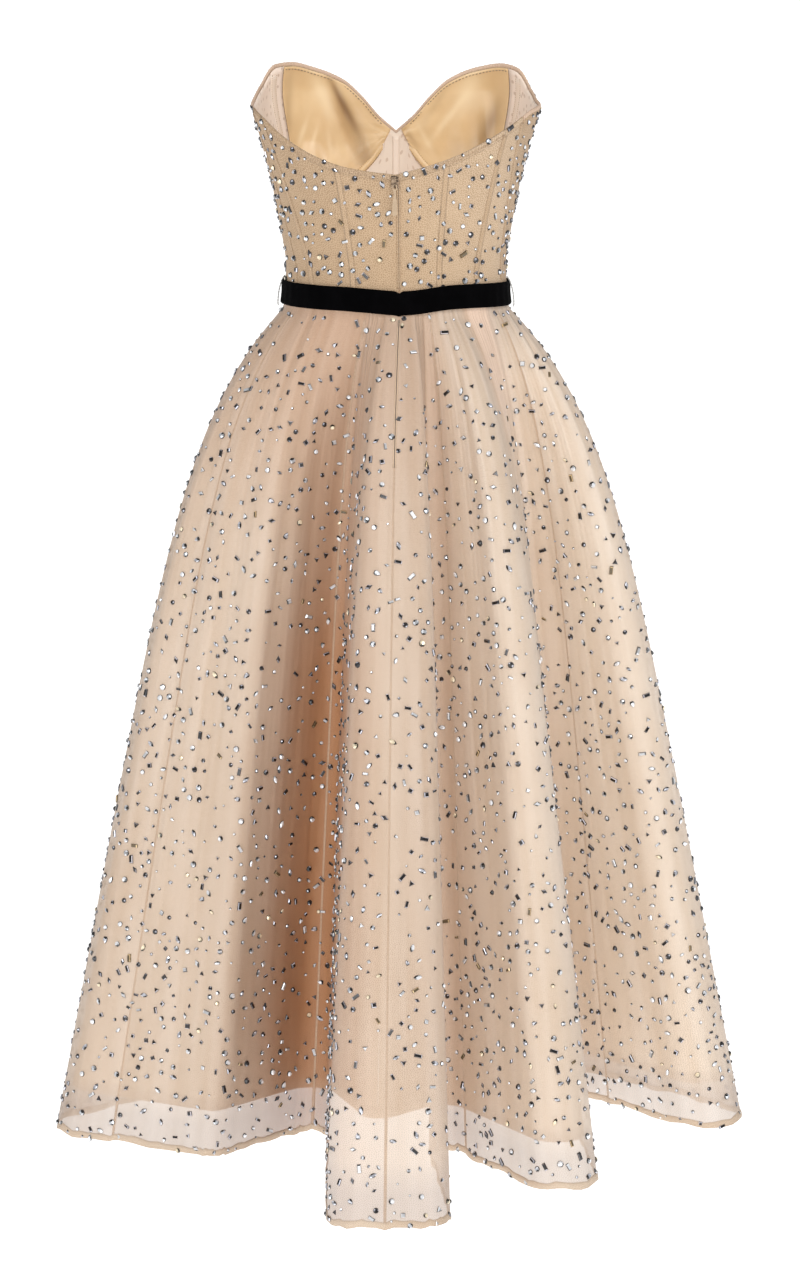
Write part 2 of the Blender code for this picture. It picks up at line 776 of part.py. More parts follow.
def build_zip(collection, cutters, bronze, tab_material):
    surface = bodice_surface(-90.0, SLIDER_TOP - SLIDER_SIZE.z / 2.0)[1]
    lean = bodice_surface(-90.0, SLIDER_TOP)[1]
    back = min(surface, lean) - LAYER_GAP
    centre = Vector((SLIDER_X, back - SLIDER_SIZE.y / 2.0, SLIDER_TOP - SLIDER_SIZE.z / 2.0))
    slider = rounded_box("zip_slider", SLIDER_SIZE, centre, collection, bronze, SLIDER_EDGE)

    # The bridge is an arch in the YZ plane that the pull's ring passes round.
    face = back - SLIDER_SIZE.y
    bridge_z = SLIDER_TOP - SLIDER_SIZE.z + BRIDGE_UP
    half = BRIDGE_HEIGHT / 2.0
    inside = half - BRIDGE_WIRE
    reach = -BRIDGE_REACH
    outline = (
        (BRIDGE_ROOT, half), (reach + BRIDGE_CORNER, half), (reach, half - BRIDGE_CORNER),
        (reach, BRIDGE_CORNER - half), (reach + BRIDGE_CORNER, -half), (BRIDGE_ROOT, -half),
        (BRIDGE_ROOT, -inside), (reach + BRIDGE_WIRE, -inside),
        (reach + BRIDGE_WIRE, inside), (BRIDGE_ROOT, inside),
    )
    arch = flat_outline("bridge", outline, (), BRIDGE_WIDTH, cutters, bronze)
    # The outline's own X runs along world Y, and its own Y along world Z.
    arch.rotation_euler = (math.radians(90.0), 0.0, math.radians(90.0))
    arch.location = (SLIDER_X, face, bridge_z)
    arch = as_mesh(arch, cutters)
    arch.hide_render = True
    arch.display_type = "WIRE"
    union = slider.modifiers.new("bridge", "BOOLEAN")
    union.operation = "UNION"
    union.object = arch

    # The pull: a ring round the bridge, a narrow neck and a drop-shaped tab.
    pivot = Vector((SLIDER_X, face - PIVOT_DEPTH, bridge_z - PIVOT_DROP))
    hole_half = BRIDGE_WIDTH / 2.0 + RING_PLAY
    hole_low = -RING_INSIDE
    ring_half = hole_half + RING_WIRE
    ring_low = hole_low - RING_BAR
    neck = hole_low - NECK_DROP
    ring_right = ((-ring_half, RING_BAR), (ring_half, RING_BAR), (ring_half, ring_low),
                  (NECK_HALF, neck))
    ring_left = ((-NECK_HALF, neck), (-ring_half, ring_low))
    side_right = tuple((station.half, -station.drop) for station in TAB_SIDE)
    side_left = tuple((-x, y) for x, y in reversed(side_right))
    end = []
    end_centre = TAB_END_HALF - TAB_LENGTH
    for k in range(TAB_END_STEPS + 1):
        turn = math.pi * k / TAB_END_STEPS
        end.append((TAB_END_HALF * math.cos(turn), end_centre - TAB_END_HALF * math.sin(turn)))
    outline = ring_right + side_right + tuple(end) + side_left + ring_left
    hole = ((-hole_half, -RING_BAR), (-hole_half, hole_low), (hole_half, hole_low),
            (hole_half, -RING_BAR))
    tab = flat_outline("zip_pull", outline, (hole,), TAB_THICK, collection, tab_material)
    tab.rotation_euler = (math.radians(90.0), 0.0, 0.0)
    tab.location = pivot
    as_mesh(tab, collection)


def build_dress():
    clear_scene()
    dress = make_collection(COLLECTION_NAME)
    cutters = make_collection("cutters")
    tulle = cloth_material("tulle", TULLE_COLOUR, 0.80)
    lining = cloth_material("lining", LINING_COLOUR, 0.70)
    bodice = cloth_material("bodice_mesh", BODICE_COLOUR, 0.85)
    mesh_cloth = cloth_material("power_mesh", MESH_COLOUR, 0.80)
    satin = cloth_material("satin", SATIN_COLOUR, 0.35)
    velvet = cloth_material("velvet", VELVET_COLOUR, 0.95)
    thread = cloth_material("thread", THREAD_COLOUR, 0.70)
    bronze = cloth_material("bronze", BRONZE_COLOUR, 0.35, 1.0)
    tab = cloth_material("zip_tab", TAB_COLOUR, 0.50)
    build_skirt(dress, tulle, lining)
    build_bodice(dress, bodice, mesh_cloth, satin, mesh_cloth)
    build_belt(dress, velvet, thread)
    build_zip(dress, cutters, bronze, tab)


build_dress()
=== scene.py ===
import json
import math
import random

import bmesh
import bpy
import numpy as np
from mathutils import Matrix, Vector

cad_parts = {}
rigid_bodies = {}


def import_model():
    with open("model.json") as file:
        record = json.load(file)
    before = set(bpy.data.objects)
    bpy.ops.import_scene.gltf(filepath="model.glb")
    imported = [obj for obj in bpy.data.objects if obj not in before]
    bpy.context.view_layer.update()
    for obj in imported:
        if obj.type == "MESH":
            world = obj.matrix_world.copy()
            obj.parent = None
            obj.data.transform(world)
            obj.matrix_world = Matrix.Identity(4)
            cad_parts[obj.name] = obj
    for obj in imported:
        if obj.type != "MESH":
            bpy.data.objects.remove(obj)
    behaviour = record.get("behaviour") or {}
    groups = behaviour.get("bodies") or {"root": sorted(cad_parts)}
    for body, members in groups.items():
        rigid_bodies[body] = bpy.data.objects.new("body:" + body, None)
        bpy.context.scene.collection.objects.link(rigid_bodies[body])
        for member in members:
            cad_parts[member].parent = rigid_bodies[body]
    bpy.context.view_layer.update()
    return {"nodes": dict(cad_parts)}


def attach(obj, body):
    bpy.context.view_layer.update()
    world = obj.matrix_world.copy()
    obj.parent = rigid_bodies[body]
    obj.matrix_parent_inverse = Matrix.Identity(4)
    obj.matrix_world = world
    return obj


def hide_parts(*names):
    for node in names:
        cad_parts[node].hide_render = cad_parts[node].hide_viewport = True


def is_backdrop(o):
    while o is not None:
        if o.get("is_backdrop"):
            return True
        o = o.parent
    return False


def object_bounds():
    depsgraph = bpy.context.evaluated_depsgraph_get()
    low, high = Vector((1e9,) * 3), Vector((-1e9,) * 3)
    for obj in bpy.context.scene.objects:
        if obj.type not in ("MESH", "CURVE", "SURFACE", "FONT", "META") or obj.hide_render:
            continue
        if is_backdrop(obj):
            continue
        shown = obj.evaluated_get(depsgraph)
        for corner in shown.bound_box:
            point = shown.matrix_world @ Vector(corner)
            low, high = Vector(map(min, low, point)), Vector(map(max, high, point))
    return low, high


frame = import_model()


def through(places, values, place):
    # smooth curve through a table's rows, without overshoot
    last = len(places) - 1
    if place <= places[0]:
        return values[0]
    if place >= places[last]:
        return values[last]
    i = 0
    while place > places[i + 1]:
        i += 1
    steps = [(values[k + 1] - values[k]) / (places[k + 1] - places[k]) for k in range(last)]
    slopes = []
    for k in (i, i + 1):
        before, after = steps[max(k - 1, 0)], steps[min(k, last - 1)]
        slopes.append(2.0 * before * after / (before + after) if before * after > 0.0 else 0.0)
    width = places[i + 1] - places[i]
    t = (place - places[i]) / width
    return ((1.0 + 2.0 * t) * (1.0 - t) ** 2 * values[i] + t * t * (3.0 - 2.0 * t) * values[i + 1]
            + t * (1.0 - t) ** 2 * width * slopes[0] + t * t * (t - 1.0) * width * slopes[1])


def unit(vector):
    return vector / max(float(np.linalg.norm(vector)), 1e-12)


def unitRows(rows):
    return rows / np.maximum(np.linalg.norm(rows, axis=1, keepdims=True), 1e-9)


def outwardOf(along):
    # level directions that point out of a line which runs counter-clockwise
    return unitRows(np.column_stack((along[:, 1], -along[:, 0], np.zeros(len(along)))))


def clamped(value):
    return min(1.0, max(0.0, value))


def turnApart(angle, other):
    return (angle - other + 180.0) % 360.0 - 180.0


def ringOf(count, wide, tall, across=0.0, out=0.0):
    turns = [2.0 * math.pi * k / count for k in range(count)]
    return [(across + wide * math.cos(turn), out + tall * math.sin(turn)) for turn in turns]


def newObject(name, data):
    item = bpy.data.objects.new(name, data)
    bpy.context.scene.collection.objects.link(item)
    return item


def addPiece(name, mesh, material, nodes=(), body="dress"):
    if not mesh.materials:
        mesh.materials.append(material)
    item = newObject(name, mesh)
    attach(item, body)
    if nodes:
        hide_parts(*nodes)
    return item


def gridMesh(name, grid, closedAcross=False, closedUp=False):
    # rows run counter-clockwise seen from above and go up, so the faces look outwards
    grid = np.asarray(grid, float)
    tall, wide = grid.shape[:2]
    faces = []
    for r in range(tall if closedUp else tall - 1):
        low, high = r * wide, ((r + 1) % tall) * wide
        for c in range(wide if closedAcross else wide - 1):
            d = (c + 1) % wide
            faces.append((low + c, low + d, high + d, high + c))
    mesh = bpy.data.meshes.new(name)
    mesh.from_pydata(grid.reshape(-1, 3).tolist(), [], faces)
    # the map is in metres: across by the middle row, up by each column
    along = np.linalg.norm(np.diff(grid, axis=1), axis=2)
    middle = along[tall // 2] if tall > 2 else along[0]
    across = np.concatenate(([0.0], np.cumsum(middle)))
    rise = np.linalg.norm(np.diff(grid, axis=0), axis=2).mean(axis=1)
    up = np.concatenate(([0.0], np.cumsum(rise)))
    layer = mesh.uv_layers.new(name="UVMap")
    wideStep = along[tall // 2].mean()
    values = np.empty((len(mesh.loops), 2))
    for polygon in mesh.polygons:
        for k, index in enumerate(polygon.loop_indices):
            vertex = mesh.loops[index].vertex_index
            r, c = divmod(vertex, wide)
            u, v = across[c], up[r]
            if closedAcross and k in (1, 2) and c == 0:
                u = across[-1] + wideStep
            if closedUp and k in (2, 3) and r == 0:
                v = up[-1] + rise.mean()
            values[index] = (u, v)
    layer.data.foreach_set("uv", values.ravel())
    mesh.shade_smooth()
    return mesh


def addWall(item, wall):
    shell = item.modifiers.new("wall", "SOLIDIFY")
    shell.thickness = wall
    shell.offset = -1.0
    shell.use_even_offset = True
    shell.use_quality_normals = True
    return item


def facesOut(mesh, corners=0):
    # turns the faces outwards, and closes the ends of a tube whose rings have that many corners
    form = bmesh.new()
    form.from_mesh(mesh)
    if corners:
        points = list(form.verts)
        form.faces.new(points[:corners][::-1])
        form.faces.new(points[-corners:])
    bmesh.ops.recalc_face_normals(form, faces=form.faces)
    form.to_mesh(mesh)
    form.free()
    return mesh


def sweep(name, path, across, out, profile):
    # profile points are (across, out) offsets
    rows = [[point + side * a + away * b for a, b in profile] for point, side, away in zip(path, across, out)]
    return facesOut(gridMesh(name, np.asarray(rows), closedAcross=True), len(profile))


def joinMeshes(name, meshes):
    form = bmesh.new()
    for mesh in meshes:
        form.from_mesh(mesh)
        bpy.data.meshes.remove(mesh)
    result = bpy.data.meshes.new(name)
    form.to_mesh(result)
    form.free()
    result.shade_smooth()
    return result


# materials

def newMaterial(name):
    material = bpy.data.materials.new(name)
    material.use_nodes = True
    tree = material.node_tree
    return material, tree, tree.nodes["Principled BSDF"]


def setInputs(tree, node, inputs):
    for key, value in inputs.items():
        if isinstance(value, bpy.types.NodeSocket):
            tree.links.new(value, node.inputs[key])
        else:
            node.inputs[key].default_value = value


def addNode(tree, kind, inputs=(), **settings):
    node = tree.nodes.new(kind)
    for key, value in settings.items():
        setattr(node, key, value)
    setInputs(tree, node, dict(inputs))
    return node


def metresOnCloth(tree):
    # the cloth's own map, in metres
    return addNode(tree, "ShaderNodeUVMap", uv_map="UVMap").outputs["UV"]


def onObject(tree):
    return addNode(tree, "ShaderNodeTexCoord").outputs["Object"]


def noiseAt(tree, vector, scale, detail=3.0, roughness=0.5):
    return addNode(tree, "ShaderNodeTexNoise", {"Vector": vector, "Scale": scale, "Detail": detail,
                                                "Roughness": roughness}).outputs["Fac"]


def cellsAt(tree, place, step, feature="DISTANCE_TO_EDGE", scatter=1.0):
    cells = {"Vector": place, "Scale": 1.0 / step, "Randomness": scatter}
    return addNode(tree, "ShaderNodeTexVoronoi", cells, feature=feature,
                   voronoi_dimensions="2D").outputs["Distance"]


def ramp(tree, factor, stops):
    node = addNode(tree, "ShaderNodeValToRGB", {"Fac": factor})
    bar = node.color_ramp
    while len(bar.elements) > 1:
        bar.elements.remove(bar.elements[-1])
    bar.elements[0].position = stops[0][0]
    bar.elements[0].color = (*stops[0][1], 1.0)
    for place, colour in stops[1:]:
        bar.elements.new(place).color = (*colour, 1.0)
    return node.outputs["Color"]


def mapped(tree, value, low, high, toLow, toHigh):
    return addNode(tree, "ShaderNodeMapRange", {"Value": value, "From Min": low, "From Max": high,
                                                "To Min": toLow, "To Max": toHigh}).outputs["Result"]


def arithmetic(tree, operation, first, second):
    return addNode(tree, "ShaderNodeMath", {0: first, 1: second}, operation=operation).outputs[0]


def mixColour(tree, factor, first, second, blend="MIX"):
    node = addNode(tree, "ShaderNodeMix", data_type="RGBA", blend_type=blend)
    # the colour inputs are 6 and 7, and the result is output 2
    setInputs(tree, node, {key: value if isinstance(value, (float, bpy.types.NodeSocket)) else (*value, 1.0)
                           for key, value in ((0, factor), (6, first), (7, second))})
    return node.outputs[2]


def bumpFrom(tree, shader, height, strength, distance, under=None):
    # a second bump lies over the first
    raised = {"Height": height, "Strength": strength, "Distance": distance}
    if under:
        raised["Normal"] = under.outputs["Normal"]
    bump = addNode(tree, "ShaderNodeBump", raised)
    tree.links.new(bump.outputs["Normal"], shader.inputs["Normal"])
    return bump


def readLayer(tree, name, output="Fac"):
    return addNode(tree, "ShaderNodeAttribute", attribute_name=name).outputs[output]


# what each layer on the cloth multiplies the colour by, where it is 1: painted light on a flank, as if
# through the cloth, painted shade on the sheer hem for the shade seen through it, painted light on the flank
# under the belt, and painted warm shade deep in a fold
lightAndShadeTints = {"litFold": (1.22, 1.32, 1.40), "hemVeil": (0.78, 0.77, 0.79), "flankGlow": (1.31, 1.23, 1.20),
             "deepFold": (0.72, 0.45, 0.27)}


# multiplies the painted light and painted shade of the layers into the cloth's colour
def paintFoldLightAndShade(tree, colour):
    for layer, tint in lightAndShadeTints.items():
        colour = mixColour(tree, readLayer(tree, layer), colour, tint, "MULTIPLY")
    return colour


def softStreaks(tree, place, across, along):
    # long uneven lines where the cloth hangs
    stretched = addNode(tree, "ShaderNodeMapping", {"Vector": place, "Scale": (across, along, 1.0)})
    return noiseAt(tree, stretched.outputs["Vector"], scale=1.0, detail=2.0, roughness=0.6)


netLook = dict(cell=0.0016, thread=0.055, openAlpha=0.70, threadAlpha=0.93, streak=(0.89, 0.85, 0.80),
               pale=(0.670, 0.550, 0.450), warm=(0.630, 0.500, 0.395), crossed=(0.90, 0.88, 0.86),
               streaksAcross=42.0, streaksAlong=1.7, roughness=0.62, sheen=0.12)


def makeNetMaterial(name, look):
    material, tree, shader = newMaterial(name)
    place = metresOnCloth(tree)
    thread = mapped(tree, cellsAt(tree, place, look["cell"]), look["thread"], look["thread"] * 2.6, 1.0, 0.0)
    streaks = softStreaks(tree, place, look["streaksAcross"], look["streaksAlong"])
    ground = ramp(tree, noiseAt(tree, place, scale=9.0), ((0.3, look["warm"]), (0.7, look["pale"])))
    colour = paintFoldLightAndShade(tree, ground)
    # the streaks darken the colour in long lines: painted shade of small hanging folds
    paintedStreakShade = ramp(tree, streaks, ((0.36, look["streak"]), (0.60, (1.0, 1.0, 1.0))))
    colour = mixColour(tree, 1.0, colour, paintedStreakShade, "MULTIPLY")
    deeper = mixColour(tree, 1.0, colour, look["crossed"], "MULTIPLY")
    setInputs(tree, shader, {
        "Base Color": mixColour(tree, thread, deeper, colour),
        "Alpha": mapped(tree, thread, 0.0, 1.0, look["openAlpha"], look["threadAlpha"]),
        "Roughness": look["roughness"], "Sheen Weight": look["sheen"], "Sheen Roughness": 0.45})
    soft = bumpFrom(tree, shader, streaks, strength=0.7, distance=0.0050)
    bumpFrom(tree, shader, thread, strength=0.35, distance=0.0004, under=soft)
    return material


liningLook = dict(pale=(0.70, 0.53, 0.38), deep=(0.64, 0.47, 0.325), thread=0.0009, roughness=0.55, sheen=0.1)
waveOfThread = 0.314  # a wave texture at this scale has one band a metre


def makeWovenMaterial(name, look):
    material, tree, shader = newMaterial(name)
    place = metresOnCloth(tree)
    broad = noiseAt(tree, place, scale=7.0, detail=4.0)
    colour = ramp(tree, broad, ((0.30, look["deep"]), (0.62, look["pale"])))
    bands = {"Vector": place, "Scale": waveOfThread / look["thread"], "Distortion": 0.6}
    warp, weft = [addNode(tree, "ShaderNodeTexWave", bands, bands_direction=way).outputs["Fac"]
                  for way in "XY"]
    weave = arithmetic(tree, "MULTIPLY", warp, weft)
    tint = mixColour(tree, mapped(tree, weave, 0.0, 1.0, 0.0, 0.12), colour, look["deep"])
    setInputs(tree, shader, {"Base Color": paintFoldLightAndShade(tree, tint), "Roughness": look["roughness"],
                             "Sheen Weight": look["sheen"]})
    bumpFrom(tree, shader, weave, strength=0.3, distance=0.00015)
    return material


bodiceLook = dict(cell=0.0023, pale=(0.405, 0.270, 0.156), deep=(0.325, 0.210, 0.116),
                  line=(0.60, 0.435, 0.285), lit=(1.20, 1.27, 1.38), roughness=0.75, sheen=0.1)


def makeNetOverClothMaterial(name, look):
    # tan net lying on firm tan cloth
    material, tree, shader = newMaterial(name)
    place = metresOnCloth(tree)
    thread = mapped(tree, cellsAt(tree, place, look["cell"]), 0.06, 0.18, 1.0, 0.0)
    broad = noiseAt(tree, place, scale=14.0, detail=4.0)
    ground = ramp(tree, broad, ((0.32, look["deep"]), (0.66, look["pale"])))
    colour = mixColour(tree, mapped(tree, thread, 0.0, 1.0, 0.0, 0.7), ground, look["line"])
    # painted light: the bodice is coloured lighter where the light falls on it
    colour = mixColour(tree, readLayer(tree, "litFold"), colour, look["lit"], "MULTIPLY")
    setInputs(tree, shader, {"Base Color": colour, "Roughness": look["roughness"],
                             "Sheen Weight": look["sheen"]})
    bumpFrom(tree, shader, thread, strength=0.7, distance=0.0003)
    return material


powerMeshLook = dict(ground=(0.88, 0.74, 0.63), deep=(0.80, 0.65, 0.54), dot=(0.46, 0.31, 0.21),
                     dotStep=0.0105, dotSize=0.115, dotScatter=0.8, cell=0.001, roughness=0.7, sheen=0.25)


def makePowerMeshMaterial(name, look):
    # the stones' mounts show through as faint dots, darkened with painted shadow where the stones block the
    # light
    material, tree, shader = newMaterial(name)
    place = metresOnCloth(tree)
    dots = cellsAt(tree, place, look["dotStep"], "F1", look["dotScatter"])
    spot = mapped(tree, dots, look["dotSize"], look["dotSize"] * 1.6, 1.0, 0.0)
    broad = noiseAt(tree, place, scale=16.0, detail=4.0)
    ground = ramp(tree, broad, ((0.35, look["deep"]), (0.6, look["ground"])))
    colour = mixColour(tree, mapped(tree, spot, 0.0, 1.0, 0.0, 0.55), ground, look["dot"])
    setInputs(tree, shader, {"Base Color": colour, "Roughness": look["roughness"],
                             "Sheen Weight": look["sheen"]})
    bumpFrom(tree, shader, cellsAt(tree, place, look["cell"]), strength=0.3, distance=0.0002)
    return material


satinLook = dict(light=(0.78, 0.56, 0.31), deep=(0.66, 0.44, 0.22), shade=(0.36, 0.28, 0.20),
                 gloss=(0.92, 0.74, 0.48), roughness=0.32, anisotropy=0.5, sheen=0.1, stretch=(1.0, 9.0, 1.0))


def makeSatinMaterial(name, look):
    material, tree, shader = newMaterial(name)
    place = metresOnCloth(tree)
    stretched = addNode(tree, "ShaderNodeMapping", {"Vector": place, "Scale": look["stretch"]})
    floats = noiseAt(tree, stretched.outputs["Vector"], scale=240.0, detail=2.0)
    broad = noiseAt(tree, place, scale=22.0, detail=3.0)
    colour = ramp(tree, broad, ((0.3, look["deep"]), (0.7, look["light"])))
    # painted shade and painted highlights of the cup's folds, read from two layers
    colour = mixColour(tree, readLayer(tree, "satinShade"), colour, look["shade"], "MULTIPLY")
    colour = mixColour(tree, readLayer(tree, "satinGloss"), colour, look["gloss"])
    setInputs(tree, shader, {"Base Color": colour, "Roughness": look["roughness"],
                             "Anisotropic": look["anisotropy"], "Sheen Weight": look["sheen"]})
    soft = bumpFrom(tree, shader, noiseAt(tree, place, scale=34.0, detail=1.0), strength=0.6, distance=0.0035)
    bumpFrom(tree, shader, floats, strength=0.12, distance=0.0001, under=soft)
    return material


velvetLook = dict(pile=(0.0004, 0.0003, 0.0005), worn=(0.0016, 0.0014, 0.0018), sheen=0.025,
                  sheenRoughness=0.35, sheenTint=(0.10, 0.10, 0.11, 1.0), roughness=0.95, specular=0.04)


def makeVelvetMaterial(name, look):
    material, tree, shader = newMaterial(name)
    place = onObject(tree)
    crushed = noiseAt(tree, place, scale=42.0, detail=5.0, roughness=0.65)
    pile = noiseAt(tree, place, scale=2600.0, detail=2.0)
    colour = ramp(tree, crushed, ((0.45, look["pile"]), (0.8, look["worn"])))
    setInputs(tree, shader, {
        "Base Color": colour, "Roughness": look["roughness"], "Specular IOR Level": look["specular"],
        "Sheen Weight": look["sheen"], "Sheen Roughness": look["sheenRoughness"],
        "Sheen Tint": look["sheenTint"]})
    bumpFrom(tree, shader, arithmetic(tree, "ADD", pile, crushed), strength=0.4, distance=0.0004)
    return material


def makeThreadMaterial(name, colour, deep):
    material, tree, shader = newMaterial(name)
    twist = noiseAt(tree, onObject(tree), scale=900.0, detail=2.0)
    setInputs(tree, shader, {"Base Color": ramp(tree, twist, ((0.3, deep), (0.7, colour))), "Roughness": 0.6,
                             "Sheen Weight": 0.3})
    bumpFrom(tree, shader, twist, strength=0.4, distance=0.0002)
    return material


def makeMetalMaterial(name, colour, deep, roughness, metallic):
    material, tree, shader = newMaterial(name)
    wear = noiseAt(tree, onObject(tree), scale=420.0, detail=4.0)
    setInputs(tree, shader, {
        "Base Color": ramp(tree, wear, ((0.35, deep), (0.65, colour))),
        "Roughness": mapped(tree, wear, 0.3, 0.7, roughness * 0.8, roughness * 1.25),
        "Metallic": metallic, "Coat Weight": 0.25})
    bumpFrom(tree, shader, wear, strength=0.15, distance=0.0001)
    return material


def makeStoneMaterial(name):
    # each facet carries a painted reflection, light or dark, for what foil behind cut glass would mirror
    material, tree, shader = newMaterial(name)
    cloudy = mapped(tree, noiseAt(tree, onObject(tree), scale=300.0, detail=2.0), 0.3, 0.7, 0.0, 0.15)
    facetReflection = readLayer(tree, "facetTone", "Color")
    setInputs(tree, shader, {
        "Base Color": mixColour(tree, cloudy, facetReflection, (0.55, 0.56, 0.60), "MULTIPLY"),
        "Metallic": 0.35, "Roughness": 0.12, "Coat Weight": 0.5, "Coat Roughness": 0.04})
    return material


def makeFloorMaterial(name, glow):
    # a lit sweep of white paper
    material, tree, shader = newMaterial(name)
    setInputs(tree, shader, {
        "Base Color": (0.92, 0.92, 0.92, 1.0), "Roughness": 0.9, "Specular IOR Level": 0.05,
        "Emission Color": (1.0, 1.0, 1.0, 1.0), "Emission Strength": glow})
    return material


netCloth = makeNetMaterial("sheerNet", netLook)
hemTints = dict(netLook, openAlpha=0.74, threadAlpha=0.92, pale=(0.69, 0.56, 0.43), warm=(0.65, 0.51, 0.385))
hemNet = makeNetMaterial("doubledNet", hemTints)
seamTints = dict(netLook, openAlpha=0.72, threadAlpha=0.92, pale=(0.72, 0.56, 0.42), warm=(0.68, 0.52, 0.385))
seamNet = makeNetMaterial("seamNet", seamTints)
liningCloth = makeWovenMaterial("peachLining", liningLook)
bodiceCloth = makeNetOverClothMaterial("tanNetBodice", bodiceLook)
channelTints = dict(bodiceLook, pale=(0.42, 0.285, 0.170), deep=(0.35, 0.23, 0.132))
channelCloth = makeNetOverClothMaterial("tanChannel", channelTints)
bandTints = dict(bodiceLook, pale=(0.35, 0.235, 0.142), deep=(0.29, 0.19, 0.112))
bandCloth = makeNetOverClothMaterial("tanBand", bandTints)
powerMesh = makePowerMeshMaterial("powerMesh", powerMeshLook)
goreTints = dict(powerMeshLook, ground=(0.77, 0.64, 0.52), deep=(0.70, 0.56, 0.45))
goreMesh = makePowerMeshMaterial("goreMesh", goreTints)
tapeTints = dict(liningLook, pale=(0.84, 0.70, 0.58), deep=(0.74, 0.59, 0.47), thread=0.0007)
tapeCloth = makeWovenMaterial("paleTape", tapeTints)
bindingTints = dict(liningLook, pale=(0.60, 0.435, 0.32), deep=(0.49, 0.34, 0.24))
bindingCloth = makeWovenMaterial("pinkBinding", bindingTints)
satin = makeSatinMaterial("goldSatin", satinLook)
velvet = makeVelvetMaterial("blackVelvet", velvetLook)
thread = makeThreadMaterial("greyThread", (0.50, 0.49, 0.46), (0.30, 0.29, 0.28))
tanThread = makeThreadMaterial("tanThread", (0.34, 0.235, 0.145), (0.23, 0.155, 0.092))
goldThread = makeThreadMaterial("goldThread", (0.46, 0.31, 0.15), (0.30, 0.19, 0.09))
bronze = makeMetalMaterial("dullBronze", (0.40, 0.29, 0.20), (0.05, 0.032, 0.02), 0.24, 1.0)
enamel = makeMetalMaterial("beigeEnamel", (0.44, 0.32, 0.205), (0.36, 0.255, 0.16), 0.42, 0.0)
cutGlass = makeStoneMaterial("cutGlass")
print("materials are ready")


# camera, floor and light

viewLook = dict(place=(0.0042, -4.9114, 0.5689), tilt=79.2, lens=133.95, sensor=36.0, far=200.0)


def placeCamera(look):
    camera = newObject("photoCamera", bpy.data.cameras.new("photoCamera"))
    camera.location = look["place"]
    camera.rotation_euler = (math.radians(look["tilt"]), 0.0, 0.0)
    camera.data.lens = look["lens"]
    camera.data.sensor_width = look["sensor"]
    camera.data.clip_end = look["far"]
    bpy.context.scene.camera = camera


# turn is from the camera's side towards the right and rise above level, both in degrees like the softness
lightLook = dict(world=0.36, glow=0.60, floorDrop=0.58, floorHalf=60.0,
                 key=dict(turn=40.0, rise=38.0, strength=1.45, soft=34.0, shadow=True),
                 fill=dict(turn=-24.0, rise=15.0, strength=1.50, soft=50.0, shadow=False))


def farLight(name, look):
    # a big soft box far off
    lamp = bpy.data.lights.new(name, "SUN")
    lamp.energy = look["strength"]
    lamp.angle = math.radians(look["soft"])
    lamp.use_shadow = look["shadow"]
    turn, rise = math.radians(look["turn"]), math.radians(look["rise"])
    aim = -Vector((math.sin(turn) * math.cos(rise), -math.cos(turn) * math.cos(rise), math.sin(rise)))
    newObject(name, lamp).rotation_euler = aim.to_track_quat("-Z", "Y").to_euler()


def lightStudio(look):
    world = bpy.data.worlds.new("studio")
    world.use_nodes = True
    sky = world.node_tree.nodes["Background"]
    setInputs(world.node_tree, sky, {"Color": (1.0, 1.0, 1.0, 1.0), "Strength": look["world"]})
    bpy.context.scene.world = world
    farLight("keyBox", look["key"])
    farLight("fillBox", look["fill"])
    mesh = bpy.data.meshes.new("studioFloor")
    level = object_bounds()[0][2] - look["floorDrop"]
    far = look["floorHalf"]
    corners = [(-far, -far, level), (far, -far, level), (far, far, level), (-far, far, level)]
    mesh.from_pydata(corners, [], [(0, 1, 2, 3)])
    mesh.materials.append(makeFloorMaterial("paleFloor", look["glow"]))
    newObject("studioFloor", mesh)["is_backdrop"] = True
    bpy.context.scene.view_settings.view_transform = "Standard"


placeCamera(viewLook)
lightStudio(lightLook)
print("camera and studio are set")


# skirt form: pegs of the hem, gathered into the waist

skirtShape = dict(waistSeam=-0.0040, straightDrop=0.0110, hemLevel=-0.8780, liningHem=-0.8330,
                  insetWaist=0.0007, liningInsetWaist=0.0034, liningInsetHem=0.0090,
                  halfWidth=0.1155, halfDepth=0.0925, arcSteps=12, runStep=0.0095,
                  topShare=0.10, rowsTop=13, rowsBelow=52, reliefAtWaist=0.35, reliefPace=12.0)
skirtDrop = skirtShape["waistSeam"] - skirtShape["hemLevel"]

# out or in, angle and reach of the tip, curl radius, and the waist angle it hangs from
hemFolds = {
    "centreRight": (True, -86.9, 0.4065, 0.034, -81.0),
    "valleyByCentreRight": (False, -72.6, 0.1520, 0.016, -75.4),
    "rightCentre": (True, -55.7, 0.3345, 0.038, -60.0),
    "valleyByRightFlare": (False, 17.8, 0.1850, 0.011, -33.0),
    "rightFlare": (True, -3.9, 0.3680, 0.040, -4.0),
    "frontValley1": (False, 38.0, 0.2500, 0.026, 22.0),
    "frontFlare1": (True, 60.0, 0.3850, 0.042, 46.0),
    "frontValley2": (False, 80.0, 0.2300, 0.026, 69.0),
    "frontFlare2": (True, 101.0, 0.3950, 0.044, 92.0),
    "frontValley3": (False, 123.0, 0.2350, 0.026, 116.0),
    "frontFlare3": (True, 146.0, 0.3800, 0.042, 140.0),
    "frontValley4": (False, 168.0, 0.2600, 0.026, 164.0),
    "leftFlareSide": (True, 189.6, 0.3630, 0.048, 187.0),
    "leftFlareBack": (True, 216.4, 0.2650, 0.024, 229.0),
    "valleyByCentreLeft": (False, 226.2, 0.1140, 0.020, 255.0),
    "centreLeft": (True, 265.0, 0.4145, 0.036, 266.0),
}
liningFolds = dict(hemFolds, centreRight=(True, 265.3, 0.1947, 0.022, -81.0),
                   centreLeft=(True, 262.7, 0.1954, 0.022, 266.0))

